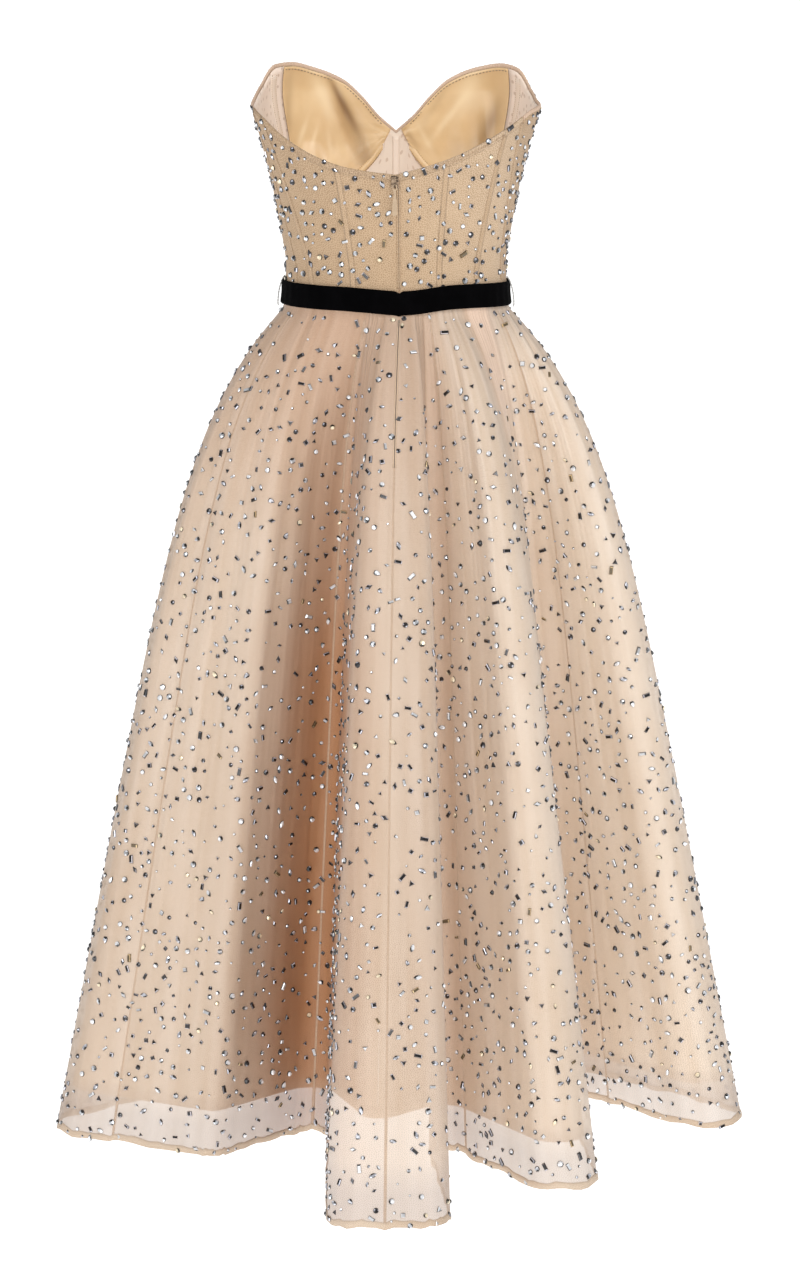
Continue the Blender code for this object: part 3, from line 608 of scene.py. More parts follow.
# soft creases: waist angle, width in degrees, depth, and where they start, peak and end on the way down
softCreases = (
    (-83.0, 1.8, 0.0022, 0.00, 0.10, 0.45), (-78.5, 1.6, -0.0026, 0.00, 0.14, 0.50),
    (-70.0, 2.2, 0.0034, 0.00, 0.16, 0.62), (-66.0, 1.7, -0.0030, 0.02, 0.20, 0.70),
    (-61.0, 2.4, 0.0040, 0.00, 0.22, 0.90), (-55.5, 2.0, -0.0036, 0.05, 0.30, 0.95),
    (-49.0, 2.8, 0.0046, 0.00, 0.25, 0.80), (-42.5, 2.2, -0.0040, 0.10, 0.42, 1.00),
    (-36.0, 2.6, 0.0038, 0.00, 0.30, 0.75), (-27.0, 2.6, -0.0040, 0.05, 0.38, 1.00),
    (-18.0, 3.4, 0.0044, 0.00, 0.28, 0.85), (-9.0, 3.0, -0.0036, 0.08, 0.35, 0.90),
    (3.0, 3.8, 0.0046, 0.00, 0.30, 0.80), (14.0, 3.0, -0.0038, 0.05, 0.40, 0.95),
    (28.0, 3.6, 0.0046, 0.00, 0.26, 0.75), (37.0, 2.8, -0.0034, 0.05, 0.36, 0.90),
    (53.0, 3.2, 0.0044, 0.00, 0.30, 0.80), (61.0, 2.6, -0.0040, 0.06, 0.34, 0.90),
    (77.0, 3.4, 0.0042, 0.00, 0.24, 0.70), (85.0, 2.8, -0.0036, 0.05, 0.40, 1.00),
    (99.0, 3.6, 0.0048, 0.00, 0.28, 0.80), (108.0, 2.6, -0.0036, 0.04, 0.33, 0.85),
    (124.0, 3.4, 0.0044, 0.00, 0.26, 0.75), (132.0, 2.6, -0.0038, 0.06, 0.38, 0.95),
    (148.0, 3.8, 0.0046, 0.00, 0.30, 0.85), (157.0, 2.8, -0.0034, 0.05, 0.35, 0.90),
    (172.0, 3.2, 0.0042, 0.00, 0.27, 0.70), (180.0, 2.6, -0.0036, 0.08, 0.40, 0.95),
    (194.0, 3.4, 0.0040, 0.00, 0.25, 0.70), (203.0, 2.8, -0.0036, 0.04, 0.36, 0.85),
    (211.0, 2.4, 0.0042, 0.00, 0.24, 0.66), (218.5, 2.2, -0.0034, 0.02, 0.30, 0.80),
    (224.0, 2.0, 0.0036, 0.00, 0.20, 0.58), (233.5, 2.2, -0.0032, 0.04, 0.26, 0.72),
    (239.0, 1.9, 0.0034, 0.00, 0.18, 0.55), (245.5, 1.8, -0.0030, 0.02, 0.22, 0.60),
    (251.0, 1.6, 0.0028, 0.00, 0.14, 0.48), (259.5, 1.7, -0.0024, 0.00, 0.16, 0.50),
    (269.5, 1.5, 0.0020, 0.00, 0.10, 0.40),
)
creaseShare = 0.45
gatherLook = dict(count=74, start=-95.0, depth=0.0014, fade=0.070, seed=11)
flareLook = dict(early=0.33, pace=8.5)  # how much of the flare comes soon under the waist, and how soon


def rightOf(direction):
    return np.array([math.sin(direction), -math.cos(direction)])


def pegOf(fold, inset):
    out, angle, reach, curl, _ = fold
    away = np.array([math.cos(math.radians(angle)), math.sin(math.radians(angle))])
    if out:
        return away * (reach - curl), curl - inset
    return away * (reach + curl), -curl - inset


def hemPath(folds, inset, shape, runs=None):
    pegs = [pegOf(fold, inset) for fold in folds]
    count = len(pegs)
    leave = []
    for i in range(count):
        across = pegs[(i + 1) % count][0] - pegs[i][0]
        lean = math.asin((pegs[i][1] - pegs[(i + 1) % count][1]) / np.linalg.norm(across))
        leave.append(math.atan2(across[1], across[0]) + lean)
    points, marks, counts = [], [], []
    for i in range(count):
        centre, radius = pegs[i]
        sweepAngle = (leave[i] - leave[i - 1]) % (2.0 * math.pi)
        if radius < 0.0:
            sweepAngle -= 2.0 * math.pi
        # an arc that seems to go nearly all round goes the short way instead
        if abs(sweepAngle) > math.radians(300.0):
            sweepAngle -= math.copysign(2.0 * math.pi, sweepAngle)
        for k in range(shape["arcSteps"] + 1):
            points.append(centre + radius * rightOf(leave[i - 1] + sweepAngle * k / shape["arcSteps"]))
            marks.append(i if k == shape["arcSteps"] // 2 else None)
        start = points[-1]
        other, otherRadius = pegs[(i + 1) % count]
        stop = other + otherRadius * rightOf(leave[i])
        steps = runs[i] if runs else max(1, round(float(np.linalg.norm(stop - start)) / shape["runStep"]))
        counts.append(steps)
        for k in range(1, steps):
            points.append(start + (stop - start) * k / steps)
            marks.append(None)
    return np.array(points), marks, counts


def waistAnglesOf(folds, points, marks):
    steps = np.linalg.norm(np.diff(np.vstack([points, points[:1]]), axis=0), axis=1)
    lengths = np.concatenate(([0.0], np.cumsum(steps)))
    around = lengths[-1]
    tips = [(lengths[i], folds[mark][4]) for i, mark in enumerate(marks) if mark is not None]
    tips.append((tips[0][0] + around, tips[0][1] + 360.0))
    places = lengths[:-1].copy()
    early = places < tips[0][0]
    places[early] += around
    angles = np.interp(places, [tip[0] for tip in tips], [tip[1] for tip in tips])
    angles[early] -= 360.0
    return angles


def waistPoint(angle, inset):
    turn = math.radians(angle)
    a, b = skirtShape["halfWidth"], skirtShape["halfDepth"]
    normal = unit(np.array([math.cos(turn) / a, math.sin(turn) / b]))
    return np.array([a * math.cos(turn), b * math.sin(turn)]) - normal * inset, normal


def creaseHeight(angle, down):
    total = 0.0
    for place, width, depth, start, peak, stop in softCreases:
        apart = turnApart(angle, place)
        if abs(apart) > 3.0 * width or down <= start or down >= stop:
            continue
        grow = (down - start) / (peak - start) if down < peak else (stop - down) / (stop - peak)
        total += depth * math.exp(-(apart / width) ** 2) * (0.5 - 0.5 * math.cos(math.pi * min(grow, 1.0)))
    return total * creaseShare


def makeGathers(look):
    # uneven little pleats under the belt
    dice = random.Random(look["seed"])
    gathers = []
    angle = look["start"]
    for _ in range(look["count"]):
        angle += 360.0 / look["count"] * dice.uniform(0.6, 1.4)
        width = dice.uniform(1.0, 1.9)
        depth = look["depth"] * dice.uniform(0.5, 1.25)
        gathers.append((angle, width, depth, look["fade"] * dice.uniform(0.6, 1.5)))
    return gathers


gatherRows = makeGathers(gatherLook)


def gatherHeight(angle, down):
    total = 0.0
    for place, width, depth, fade in gatherRows:
        apart = turnApart(angle, place)
        if abs(apart) < 3.0 * width:
            total += depth * math.exp(-(apart / width) ** 2) * math.exp(-down / fade)
    return total


def skirtColumns(seams, clear=0.12):
    # no other column stands closer to a seam than clear, in degrees
    outerFolds = list(hemFolds.values())
    points, marks, runs = hemPath(outerFolds, 0.0, skirtShape)
    angles = waistAnglesOf(outerFolds, points, marks)
    innerFolds = [liningFolds[name] for name in hemFolds]
    inner, _, _ = hemPath(innerFolds, skirtShape["liningInsetHem"], skirtShape, runs)
    order = np.argsort(angles)
    angles, points, inner = angles[order], points[order], inner[order]
    # the columns are one full turn, and each seam is given its own column
    wholeAngles = np.concatenate((angles - 360.0, angles, angles + 360.0))
    chosen = [a for a in wholeAngles if seams[0] + 1e-6 < a < seams[0] + 360.0 - 1e-6]
    chosen = [a for a in chosen if min(abs(a - s) for s in seams) > clear]
    chosen = np.array(sorted(chosen + list(seams) + [seams[0] + 360.0]))

    def atChosen(line):
        return np.stack([np.interp(chosen, wholeAngles, np.tile(line[:, k], 3)) for k in (0, 1)], axis=1)

    return chosen, atChosen(points), atChosen(inner)


def flareOf(level):
    early = flareLook["early"]
    return early * (1.0 - math.exp(-flareLook["pace"] * level)) + (1.0 - early) * level


def skirtGrid(angles, hem, inner):
    shape = skirtShape
    top = np.linspace(0.0, shape["topShare"], shape["rowsTop"])
    levels = np.concatenate((top, np.linspace(shape["topShare"], 1.0, shape["rowsBelow"])[1:]))
    if inner:
        levels = levels * (shape["waistSeam"] - shape["liningHem"]) / skirtDrop
    inset = shape["liningInsetWaist"] if inner else shape["insetWaist"]
    start = np.array([waistPoint(angle, inset)[0] for angle in angles])
    rows = []
    for level in levels[::-1]:
        down = max(0.0, (skirtDrop * level - shape["straightDrop"]) / (skirtDrop - shape["straightDrop"]))
        place = start + (hem - start) * flareOf(down)
        shift = np.array([creaseHeight(angle, down) for angle in angles])
        if not inner:
            shift = shift + np.array([gatherHeight(angle, down) for angle in angles])
        out = outwardOf(np.gradient(place, axis=0))[:, :2]
        place = place + out * shift[:, None] * min(1.0, shape["reliefAtWaist"] + down * shape["reliefPace"])
        rows.append(np.column_stack((place, np.full(len(place), shape["waistSeam"] - skirtDrop * level))))
    return np.array(rows)


seamGap = 0.0005


def narrowed(row, gap):
    # each panel stops half the gap short of its seams
    row[0] = row[0] + unit(row[1] - row[0]) * gap / 2.0
    row[-1] = row[-1] + unit(row[-2] - row[-1]) * gap / 2.0


def panelGrid(angles, grid, start, stop):
    picked = np.where((angles >= start - 1e-6) & (angles <= stop + 1e-6))[0]
    cut = grid[:, picked].copy()
    for row in cut:
        narrowed(row, seamGap)
    return cut


centreBack = -88.3
skirtSeams = dict(centre=centreBack, princessRight=-72.6, sideRight=-25.0, sideLeft=205.0, princessLeft=254.5)
columnAngles, outerHem, liningHemLine = skirtColumns(sorted(skirtSeams.values()))
panelEnds = dict(skirtSeams, centreAgain=centreBack + 360.0)
outerGrid = skirtGrid(columnAngles, outerHem, False)
hemLook = dict(height=0.0066, half=0.0009, lift=0.0036, wave=0.0024, taller=0.20, seed=8)


def unevenHem(grid, look):
    # the turned edge pulls the net into small lumps
    dice = random.Random(look["seed"])
    row = grid[0]
    step = np.array([dice.uniform(-1.0, 1.0) for _ in row])
    push = np.array([dice.uniform(-1.0, 1.0) for _ in row])
    # each place is evened out with its neighbours
    for values in (step, push):
        values[1:-1] = 0.25 * values[:-2] + 0.5 * values[1:-1] + 0.25 * values[2:]
        values[-1] = values[0]
    grid[0] = row + outwardOf(np.gradient(row, axis=0)) * (push * look["wave"])[:, None]
    grid[0, :, 2] += step * look["lift"]


unevenHem(outerGrid, hemLook)
liningGrid = skirtGrid(columnAngles, liningHemLine, True)

# from seam, to seam, cut width, cut length, and the share of that rectangle which the cut fills
tullePanels = {
    "skirt_back_centre_right": ("centre", "princessRight", 0.36, 0.92, 0.59),
    "skirt_back_side_right": ("princessRight", "sideRight", 0.62, 0.91, 0.61),
    "skirt_front": ("sideRight", "sideLeft", 1.92, 0.92, 0.65),
    "skirt_back_side_left": ("sideLeft", "princessLeft", 0.28, 0.90, 0.67),
    "skirt_back_centre_left": ("princessLeft", "centreAgain", 0.41, 0.92, 0.59),
}
liningPanels = {
    "lining_back_right": ("centre", "sideRight", 0.72, 0.86, 0.62),
    "lining_front": ("sideRight", "sideLeft", 1.80, 0.88, 0.64),
    "lining_back_left": ("sideLeft", "centreAgain", 0.41, 0.85, 0.67),
}
# by waist angle: how much painted shade the cloth has, most deep in a fold
foldShadeShares = {
    "angle": (-88.3, -84.0, -78.0, -74.0, -69.0, -62.0, -46.0, -33.0, -20.0, 10.0, 22.0, 34.0, 58.0, 69.0,
              80.0, 105.0, 116.0, 127.0, 152.0, 164.0, 176.0, 224.0, 236.0, 246.0, 254.0, 260.0, 264.5,
              271.7),
    "share": (0.0, 0.04, 0.16, 0.22, 0.06, 0.0, 0.0, 0.10, 0.0, 0.0, 0.30, 0.0, 0.0, 0.30,
              0.0, 0.0, 0.30, 0.0, 0.0, 0.30, 0.0, 0.0, 0.22, 0.80, 1.0, 1.0, 0.35, 0.0)}
# how much painted light a flank has, as if light came through the cloth
flankLightShares = {
    "angle": (-88.3, -75.0, -69.0, -63.5, -59.0, -55.0, -34.0, -30.0, -20.0, -8.0, 2.0, 8.0, 190.0, 205.0,
              222.0, 234.0, 271.7),
    "share": (0.0, 0.1, 0.65, 0.62, 0.44, 0.40, 0.55, 0.88, 0.95, 0.80, 0.20, 0.0, 0.0, 0.22,
              0.20, 0.0, 0.0)}
# how shaded it is under the belt
waistShades = {
    "angle": (-88.3, -75.0, -66.0, -55.0, 0.0, 40.0, 90.0, 150.0, 190.0, 226.0, 250.0, 271.7),
    "share": (0.32, 0.30, 0.10, 0.0, 0.05, 0.30, 0.25, 0.30, 0.30, 0.52, 0.46, 0.32)}
# how much painted light one flank has under the belt
beltFlankLightShares = {"angle": (-88.3, -57.0, -50.0, -44.0, -38.0, -31.0, 271.7),
              "share": (0.0, 0.0, 0.75, 1.0, 0.85, 0.0, 0.0)}
# how many of the stones are set
stoneShares = {
    "angle": (-88.3, -87.9, -87.4, -81.5, -80.2, -77.0, -75.5, -58.5, -55.5, -35.0, -32.5, 0.0, 255.5, 257.5,
              264.0, 265.6, 270.8, 271.3, 271.7),
    "share": (0.0, 0.6, 1.0, 1.0, 0.35, 0.35, 1.0, 1.0, 0.35, 0.35, 1.0, 1.0, 1.0, 0.40,
              0.35, 1.0, 1.0, 0.6, 0.0)}
# levels are shares of the way from the waist to the hem
layerLevels = dict(foldStart=0.05, foldGrow=0.39, foldFade=0.85, fadeShare=0.25, waistShade=0.30,
                   veilStart=0.93, veilGrow=0.03, lightGrow=0.10, glowEnd=0.155, glowMost=1.45)
clothTables = (foldShadeShares, flankLightShares, stoneShares, waistShades, beltFlankLightShares)


def writeLayer(mesh, name, values):
    layer = mesh.attributes.new(name, "FLOAT", "POINT")
    layer.data.foreach_set("value", [float(value) for value in values])


def markCloth(mesh, grid, angles, at):
    # the colour reads the painted light and shade from these, and the stones read their share, on the cloth
    # itself
    deep, lit, stones, waist, glow = [[through(table["angle"], table["share"], angle) for angle in angles]
                                      for table in clothTables]
    layers = dict(deepFold=[], litFold=[], stoneShare=[], hemVeil=[], flankGlow=[])
    for row in grid:
        level = clamped((skirtShape["waistSeam"] - row[0, 2]) / skirtDrop)
        fade = 1.0 - at["fadeShare"] * max(0.0, (level - at["foldFade"]) / (1.0 - at["foldFade"]))
        grow = clamped((level - at["foldStart"]) / at["foldGrow"]) * fade
        gathered = max(0.0, 1.0 - level / at["waistShade"])
        layers["deepFold"] += [min(1.0, value * grow + more * gathered) for value, more in zip(deep, waist)]
        layers["litFold"] += [value * min(1.0, level / at["lightGrow"]) for value in lit]
        layers["stoneShare"] += stones
        # painted shade on the sheer hem, for the shaded inside seen through it
        layers["hemVeil"] += [clamped((level - at["veilStart"]) / at["veilGrow"])] * len(angles)
        layers["flankGlow"] += [value * clamped(at["glowMost"] - level / at["glowEnd"]) for value in glow]
    for name, values in layers.items():
        writeLayer(mesh, name, values)


def hangPanel(prefix, name, grid, row, material, wall=None):
    first, last, width, length, share = row
    start, stop = panelEnds[first], panelEnds[last]
    cut = panelGrid(columnAngles, grid, start, stop)
    mesh = gridMesh(prefix + name, cut)
    markCloth(mesh, cut, [float(a) for a in columnAngles if start - 1e-6 <= a <= stop + 1e-6], layerLevels)
    item = addPiece(prefix + name, mesh, material, [name])
    if wall:
        addWall(item, wall)
    return mesh


tulleMeshes = {}
for name, row in tullePanels.items():
    tulleMeshes[name] = hangPanel("tulle_", name, outerGrid, row, netCloth)
for name, row in liningPanels.items():
    hangPanel("inner_", name, liningGrid, row, liningCloth, wall=0.0004)
print("skirt and lining are built")


# turned hems and seams of the skirt

# half widths out and heights up
hemProfile = ((-0.5, 1.0), (-1.0, 0.6), (-1.0, 0.15), (-0.4, -0.03), (0.4, -0.03), (1.0, 0.15), (1.0, 0.6),
              (0.5, 1.0))


def turnedHem(name, grid, look, material):
    # a narrow doubled edge, from the lowest row, all round
    row = grid[0][:-1]
    out = outwardOf(np.roll(row, -1, axis=0) - np.roll(row, 1, axis=0))
    rise = unitRows(grid[1][:-1] - row)
    rows = []
    for i in range(len(row)):
        # two sines out of step, so that no lengths of it are alike
        uneven = 0.6 * math.sin(i * 2.3) + 0.4 * math.sin(i * 0.61 + 1.0)
        grow = look["height"] * (1.0 + look["taller"] * uneven)
        fat = look["half"] * (1.0 + 0.5 * look["taller"] * math.sin(i * 1.7 + 0.5))
        rows.append([row[i] + out[i] * (a * fat) + rise[i] * (b * grow) for a, b in hemProfile])
    mesh = gridMesh(name, rows, closedAcross=True, closedUp=True)
    return addPiece(name, facesOut(mesh), material)


turnedHem("tulle_hem", outerGrid, hemLook, hemNet)
turnedHem("lining_hem", liningGrid, dict(hemLook, height=0.011, half=0.0006, taller=0.05), liningCloth)


def gridFrame(angles, grid, angle):
    # the line of one column from the waist down, with its across and outward directions
    index = int(np.argmin(np.abs(angles - angle)))
    before, after = max(index - 1, 0), min(index + 1, len(angles) - 1)
    line = grid[::-1, index]
    across = unitRows(grid[::-1, after] - grid[::-1, before])
    out = unitRows(np.cross(np.gradient(line, axis=0), across))
    if np.dot(out[3][:2], line[3][:2]) < 0:
        out = -out
    return line, across, out


seamLook = dict(allowance=0.0016, ridge=0.00022, apart=0.0007, lift=0.0002, under=-0.0004, deep=-0.0006,
                skip=2)


def skirtSeam(name, angle, look):
    line, across, out = [part[look["skip"]:] for part in gridFrame(columnAngles, outerGrid, angle)]
    wide, under, deep, ridge = look["allowance"], look["under"], look["deep"], look["ridge"]
    parts = [sweep(name, line, across, out, [(-wide, deep), (-wide, under), (wide, under), (wide, deep)])]
    for shift in (-look["apart"], look["apart"]):
        parts.append(sweep(name, line, across, out, ringOf(6, ridge, ridge * 0.7, shift, look["lift"])))
    return addPiece(name, joinMeshes(name, parts), seamNet)


for label, angle in skirtSeams.items():
    skirtSeam("skirt_seam_" + label, angle, seamLook)
print("hems and seams are sewn")


# bodice form

bodiceSections = {
    "height": (-0.004, 0.027, 0.064, 0.107, 0.149, 0.197, 0.247),
    "half": (0.1155, 0.1135, 0.1185, 0.1265, 0.1365, 0.1490, 0.1540),
    "back": (0.0925, 0.0905, 0.0915, 0.0940, 0.0960, 0.0980, 0.1000),
    "front": (0.0925, 0.0930, 0.0960, 0.0990, 0.1010, 0.1000, 0.0960),
    "bust": (0.0, 0.0, 0.006, 0.020, 0.032, 0.030, 0.014),
}
bustShape = dict(spread=38.0, width=26.0)
edgeTable = {
    "away": (0.0, 7.0, 13.0, 20.0, 30.0, 41.0, 49.0, 60.0, 74.0, 90.0, 108.0, 124.0, 140.0, 156.0, 170.0,
             180.0),
    "left": (0.1575, 0.1735, 0.1930, 0.2110, 0.2230, 0.2300, 0.2285, 0.2090, 0.1980, 0.1925, 0.1830, 0.1645,
             0.1480, 0.1365, 0.1315, 0.1290),
    "right": (0.1575, 0.1735, 0.1930, 0.2115, 0.2235, 0.2285, 0.2250, 0.2050, 0.1950, 0.1930, 0.1900, 0.1760,
              0.1595, 0.1445, 0.1350, 0.1290),
}
wireTable = {"away": (5.0, 12.0, 22.0, 31.0, 40.0, 46.0),
             "height": (0.1440, 0.1220, 0.1030, 0.0960, 0.1040, 0.1220)}
# angle at the waist and lean for each metre up
bodiceSeams = {
    "centreRight": (centreBack, -4.0), "centreLeft": (centreBack + 360.0, -4.0), "right1": (-67.2, 0.0),
    "right2": (-44.7, 40.0), "right3": (-16.5, -59.0), "right4": (45.0, 0.0), "goreRight": (85.0, 0.0),
    "goreLeft": (95.0, 0.0), "left4": (135.0, 0.0), "left3": (208.0, -120.0), "left2": (223.4, -138.0),
    "left1": (248.2, -38.0), "satinRight": (54.9, 209.0), "satinLeft": (125.1, -209.0),
}
sectionCache = {}


def sectionAt(height):
    key = round(height, 6)
    if key not in sectionCache:
        sectionCache[key] = [through(bodiceSections["height"], bodiceSections[name], height)
                             for name in ("half", "back", "front", "bust")]
    return sectionCache[key]


def bodiceSurface(angle, height):
    half, back, front, bust = sectionAt(height)
    across, along = math.cos(math.radians(angle)), math.sin(math.radians(angle))
    depth = front if along > 0.0 else back
    normal = unit(np.array([across / half, along / depth]))
    swell = 0.0
    for side in (-1.0, 1.0):
        apart = angle - 90.0 - side * bustShape["spread"]
        swell += bust * math.exp(-(apart / bustShape["width"]) ** 2)
    return np.array([half * across + normal[0] * swell, depth * along + normal[1] * swell, height])


def alongBodice(angle, height):
    return bodiceSurface(angle + 0.5, height) - bodiceSurface(angle - 0.5, height)


def bodiceNormal(angle, height):
    up = bodiceSurface(angle, height + 0.001) - bodiceSurface(angle, height - 0.001)
    return unit(np.cross(alongBodice(angle, height), up))


def bodicePoint(angle, height, inset=0.0):
    point = bodiceSurface(angle, height)
    return point - bodiceNormal(angle, height) * inset if inset else point


def topEdge(angle):
    side = "left" if (angle - 90.0) % 360.0 < 180.0 else "right"
    return through(edgeTable["away"], edgeTable[side], abs(turnApart(angle, 90.0)))


def wireLine(angle):
    return through(wireTable["away"], wireTable["height"], abs(angle - 90.0))


def boundEdge(angle):
    # the cloth ends inside the roll of the binding
    return topEdge(angle) - bindingTuck


def belowWire(angle):
    return wireLine(angle) - seamGap


def aboveWire(angle):
    return wireLine(angle) + seamGap


bindingTuck = 0.0034
bodiceFloor = skirtShape["waistSeam"] + seamGap


def floorLine(angle):
    return bodiceFloor


def seamAt(name, height):
    return bodiceSeams[name][0] + bodiceSeams[name][1] * height


settleRounds = 5


def patchGrid(start, stop, bottom, top, across, up, inset=0.0, gap=seamGap, relief=None):
    rows = []
    for r in range(up + 1):
        row = []
        for c in range(across + 1):
            height = bottom(90.0)
            # the seams lean, so the angle and the height settle in a few rounds
            for _ in range(settleRounds):
                low, high = seamAt(start, height), seamAt(stop, height)
                angle = low + (high - low) * c / across
                floor = bottom(angle)
                height = floor + (top(angle) - floor) * r / up
            lift = relief(angle, height) if relief else 0.0
            row.append(bodicePoint(angle, height, inset - lift))
        narrowed(row, gap)
        rows.append(row)
    return np.array(rows)


# little pulls and dents of the firm cloth: angle, height, length, width, turn, depth
bodicePulls = (
    (-60.0, 0.052, 0.016, 0.0030, -40.0, -0.0010), (-52.0, 0.043, 0.014, 0.0032, -35.0, 0.0009),
    (-78.0, 0.030, 0.012, 0.0030, 12.0, -0.0007), (-40.0, 0.028, 0.014, 0.0034, -25.0, -0.0008),
    (238.0, 0.034, 0.014, 0.0032, 30.0, -0.0008), (256.0, 0.026, 0.012, 0.0030, -10.0, -0.0007),
    (224.0, 0.060, 0.018, 0.0036, 35.0, 0.0008), (264.0, 0.100, 0.020, 0.0036, 5.0, -0.0006),
    (-30.0, 0.070, 0.018, 0.0038, -30.0, 0.0008), (20.0, 0.050, 0.020, 0.0040, 20.0, -0.0008),
    (60.0, 0.040, 0.018, 0.0036, -15.0, -0.0008), (118.0, 0.045, 0.018, 0.0036, 18.0, -0.0008),
    (160.0, 0.055, 0.020, 0.0040, -22.0, 0.0008), (190.0, 0.080, 0.020, 0.0040, 25.0, -0.0008),
)
pullShare = 1.9
pullRadius = 0.11  # metres for each radian round the bodice
pullReach = 0.05


def bodicePull(angle, height):
    total = 0.0
    for place, level, length, width, turn, depth in bodicePulls:
        x, z = math.radians(turnApart(angle, place)) * pullRadius, height - level
        if abs(x) > pullReach or abs(z) > pullReach:
            continue
        t = math.radians(turn)
        along, side = x * math.sin(t) + z * math.cos(t), x * math.cos(t) - z * math.sin(t)
        total += depth * pullShare * math.exp(-(along / length) ** 2 - (side / width) ** 2)
    return total


bodicePanels = {
    "bodice_back_centre_right": ("centreRight", "right1", 0.046, 0.150),
    "bodice_back_side_right": ("right1", "right2", 0.056, 0.172),
    "bodice_side_back_right": ("right2", "right3", 0.040, 0.194),
    "bodice_side_back_left": ("left3", "left2", 0.027, 0.210),
    "bodice_back_side_left": ("left2", "left1", 0.068, 0.178),
    "bodice_back_centre_left": ("left1", "centreLeft", 0.060, 0.150),
}
meshInset = 0.0023
# the painted light on the back grows from the middle out to here
litFrom = 0.11  # metres to the right, where the back is fully lit
bodiceMeshes = {}


def fitPanel(prefix, name, grid, material, wall):
    mesh = gridMesh(prefix + name, grid)
    return addWall(addPiece(prefix + name, mesh, material, [name]), wall)


def outerPanel(name, start, stop, top, across, up, wall=0.0010, relief=bodicePull):
    # net over firm cloth, and it carries stones
    grid = patchGrid(start, stop, floorLine, top, across, up, relief=relief)
    item = fitPanel("net_", name, grid, bodiceCloth, wall)
    bodiceMeshes[name] = item.data
    return item


for name, (start, stop, width, length) in bodicePanels.items():
    item = outerPanel(name, start, stop, topEdge, 16, 34)
    # painted light: the back is coloured lighter towards the right, where the light falls
    writeLayer(item.data, "litFold", [clamped(vertex.co.x / litFrom) for vertex in item.data.vertices])
for side, start, stop in (("right", "right3", "right4"), ("left", "left4", "left3")):
    item = outerPanel("bodice_side_" + side, start, stop, boundEdge, 30, 36, wall=0.0009)
    grid = patchGrid(start, stop, floorLine, boundEdge, 30, 36, inset=meshInset)
    item = fitPanel("mesh_", "bodice_lining_side_" + side, grid, powerMesh, wall=0.0008)
item = outerPanel("bodice_front_centre", "goreRight", "goreLeft", boundEdge, 8, 34, relief=None)

# the satin folds softly where the cup bends: angle, lean over the length, width, depth, from and to height
satinCreases = ((109.0, 9.0, 2.6, -0.0042, 0.120, 0.226), (115.0, 7.0, 2.8, -0.0018, 0.110, 0.206),
                (124.5, -5.0, 3.4, -0.0026, 0.100, 0.170), (102.0, 6.0, 2.6, -0.0018, 0.112, 0.182),
                (53.5, 6.0, 2.8, -0.0036, 0.112, 0.200), (64.0, 8.0, 3.2, -0.0016, 0.108, 0.190),
                (76.0, 10.0, 3.0, -0.0018, 0.120, 0.200))
# painted shade and painted highlights: across and height in metres, half length, half width, lean, amount
satinShades = (
    (-0.0575, 0.189, 0.030, 0.0042, -0.50, 0.75), (-0.0470, 0.165, 0.034, 0.0110, -0.50, 0.42),
    (-0.0320, 0.126, 0.016, 0.0100, -0.40, 0.40), (-0.1130, 0.180, 0.040, 0.0040, 0.05, 0.30),
    (0.0985, 0.163, 0.028, 0.0095, 0.35, 0.72), (0.0720, 0.136, 0.014, 0.0200, 0.60, 0.30),
    (0.0150, 0.150, 0.014, 0.0040, -0.60, 0.35), (0.0420, 0.186, 0.022, 0.0050, 0.60, 0.22))
satinHighlightSpots = (
    (-0.0770, 0.194, 0.026, 0.0085, -0.35, 0.55), (-0.0980, 0.156, 0.013, 0.0024, 0.35, 0.55),
    (-0.0860, 0.150, 0.011, 0.0020, 0.30, 0.50), (-0.0700, 0.146, 0.014, 0.0030, -0.10, 0.35),
    (0.0750, 0.197, 0.024, 0.0120, 0.30, 0.60), (0.0520, 0.167, 0.022, 0.0044, 0.75, 0.45),
    (0.0300, 0.150, 0.014, 0.0030, -0.50, 0.30))


def satinFold(angle, height):
    total = 0.0
    for place, lean, width, depth, low, high in satinCreases:
        if low < height < high:
            t = (height - low) / (high - low)
            apart = (angle - place - lean * (t - 0.5)) / width
            total += depth * math.exp(-apart ** 2) * math.sin(math.pi * t) ** 1.2
    return total


def satinLightAndShade(spots, across, height):
    total = 0.0
    for place, level, length, width, lean, amount in spots:
        apart = across - place - lean * (height - level)
        total += amount * math.exp(-(apart / width) ** 2 - ((height - level) / length) ** 2)
    return min(1.0, total)


for side, start, stop in (("right", "right4", "goreRight"), ("left", "goreLeft", "left4")):
    item = outerPanel("bodice_front_" + side, start, stop, belowWire, 26, 26)
    grid = patchGrid(start, stop, aboveWire, boundEdge, 34, 34, gap=0.0014)
    item = fitPanel("foam_", "cup_" + side, grid, bodiceCloth, wall=0.0026)
    bodiceMeshes["cup_" + side] = item.data
    inner = {"goreRight": "satinRight", "goreLeft": "satinLeft"}
    low, high = inner.get(start, start), inner.get(stop, stop)
    grid = patchGrid(low, high, aboveWire, boundEdge, 60, 60, inset=0.0034, gap=0.0004, relief=satinFold)
    item = fitPanel("satin_", "cup_lining_" + side, grid, satin, wall=0.0008)
    for layer, spots in (("satinShade", satinShades), ("satinGloss", satinHighlightSpots)):
        places = [vertex.co for vertex in item.data.vertices]
        writeLayer(item.data, layer, [satinLightAndShade(spots, place.x, place.z) for place in places])


goreSpan = dict(half=4.4, fade=0.6)  # degrees


def frontLiningTop(angle):
    # up to the binding between the cups
    share = clamped((abs(angle - 90.0) - goreSpan["half"]) / goreSpan["fade"])
    return boundEdge(angle) * (1.0 - share) + belowWire(angle) * share


grid = patchGrid("right4", "left4", floorLine, frontLiningTop, 120, 24, inset=meshInset)
item = fitPanel("mesh_", "bodice_lining_front", grid, goreMesh, wall=0.0008)
print("bodice and cups are built")


# binding, back band, channels and underwire

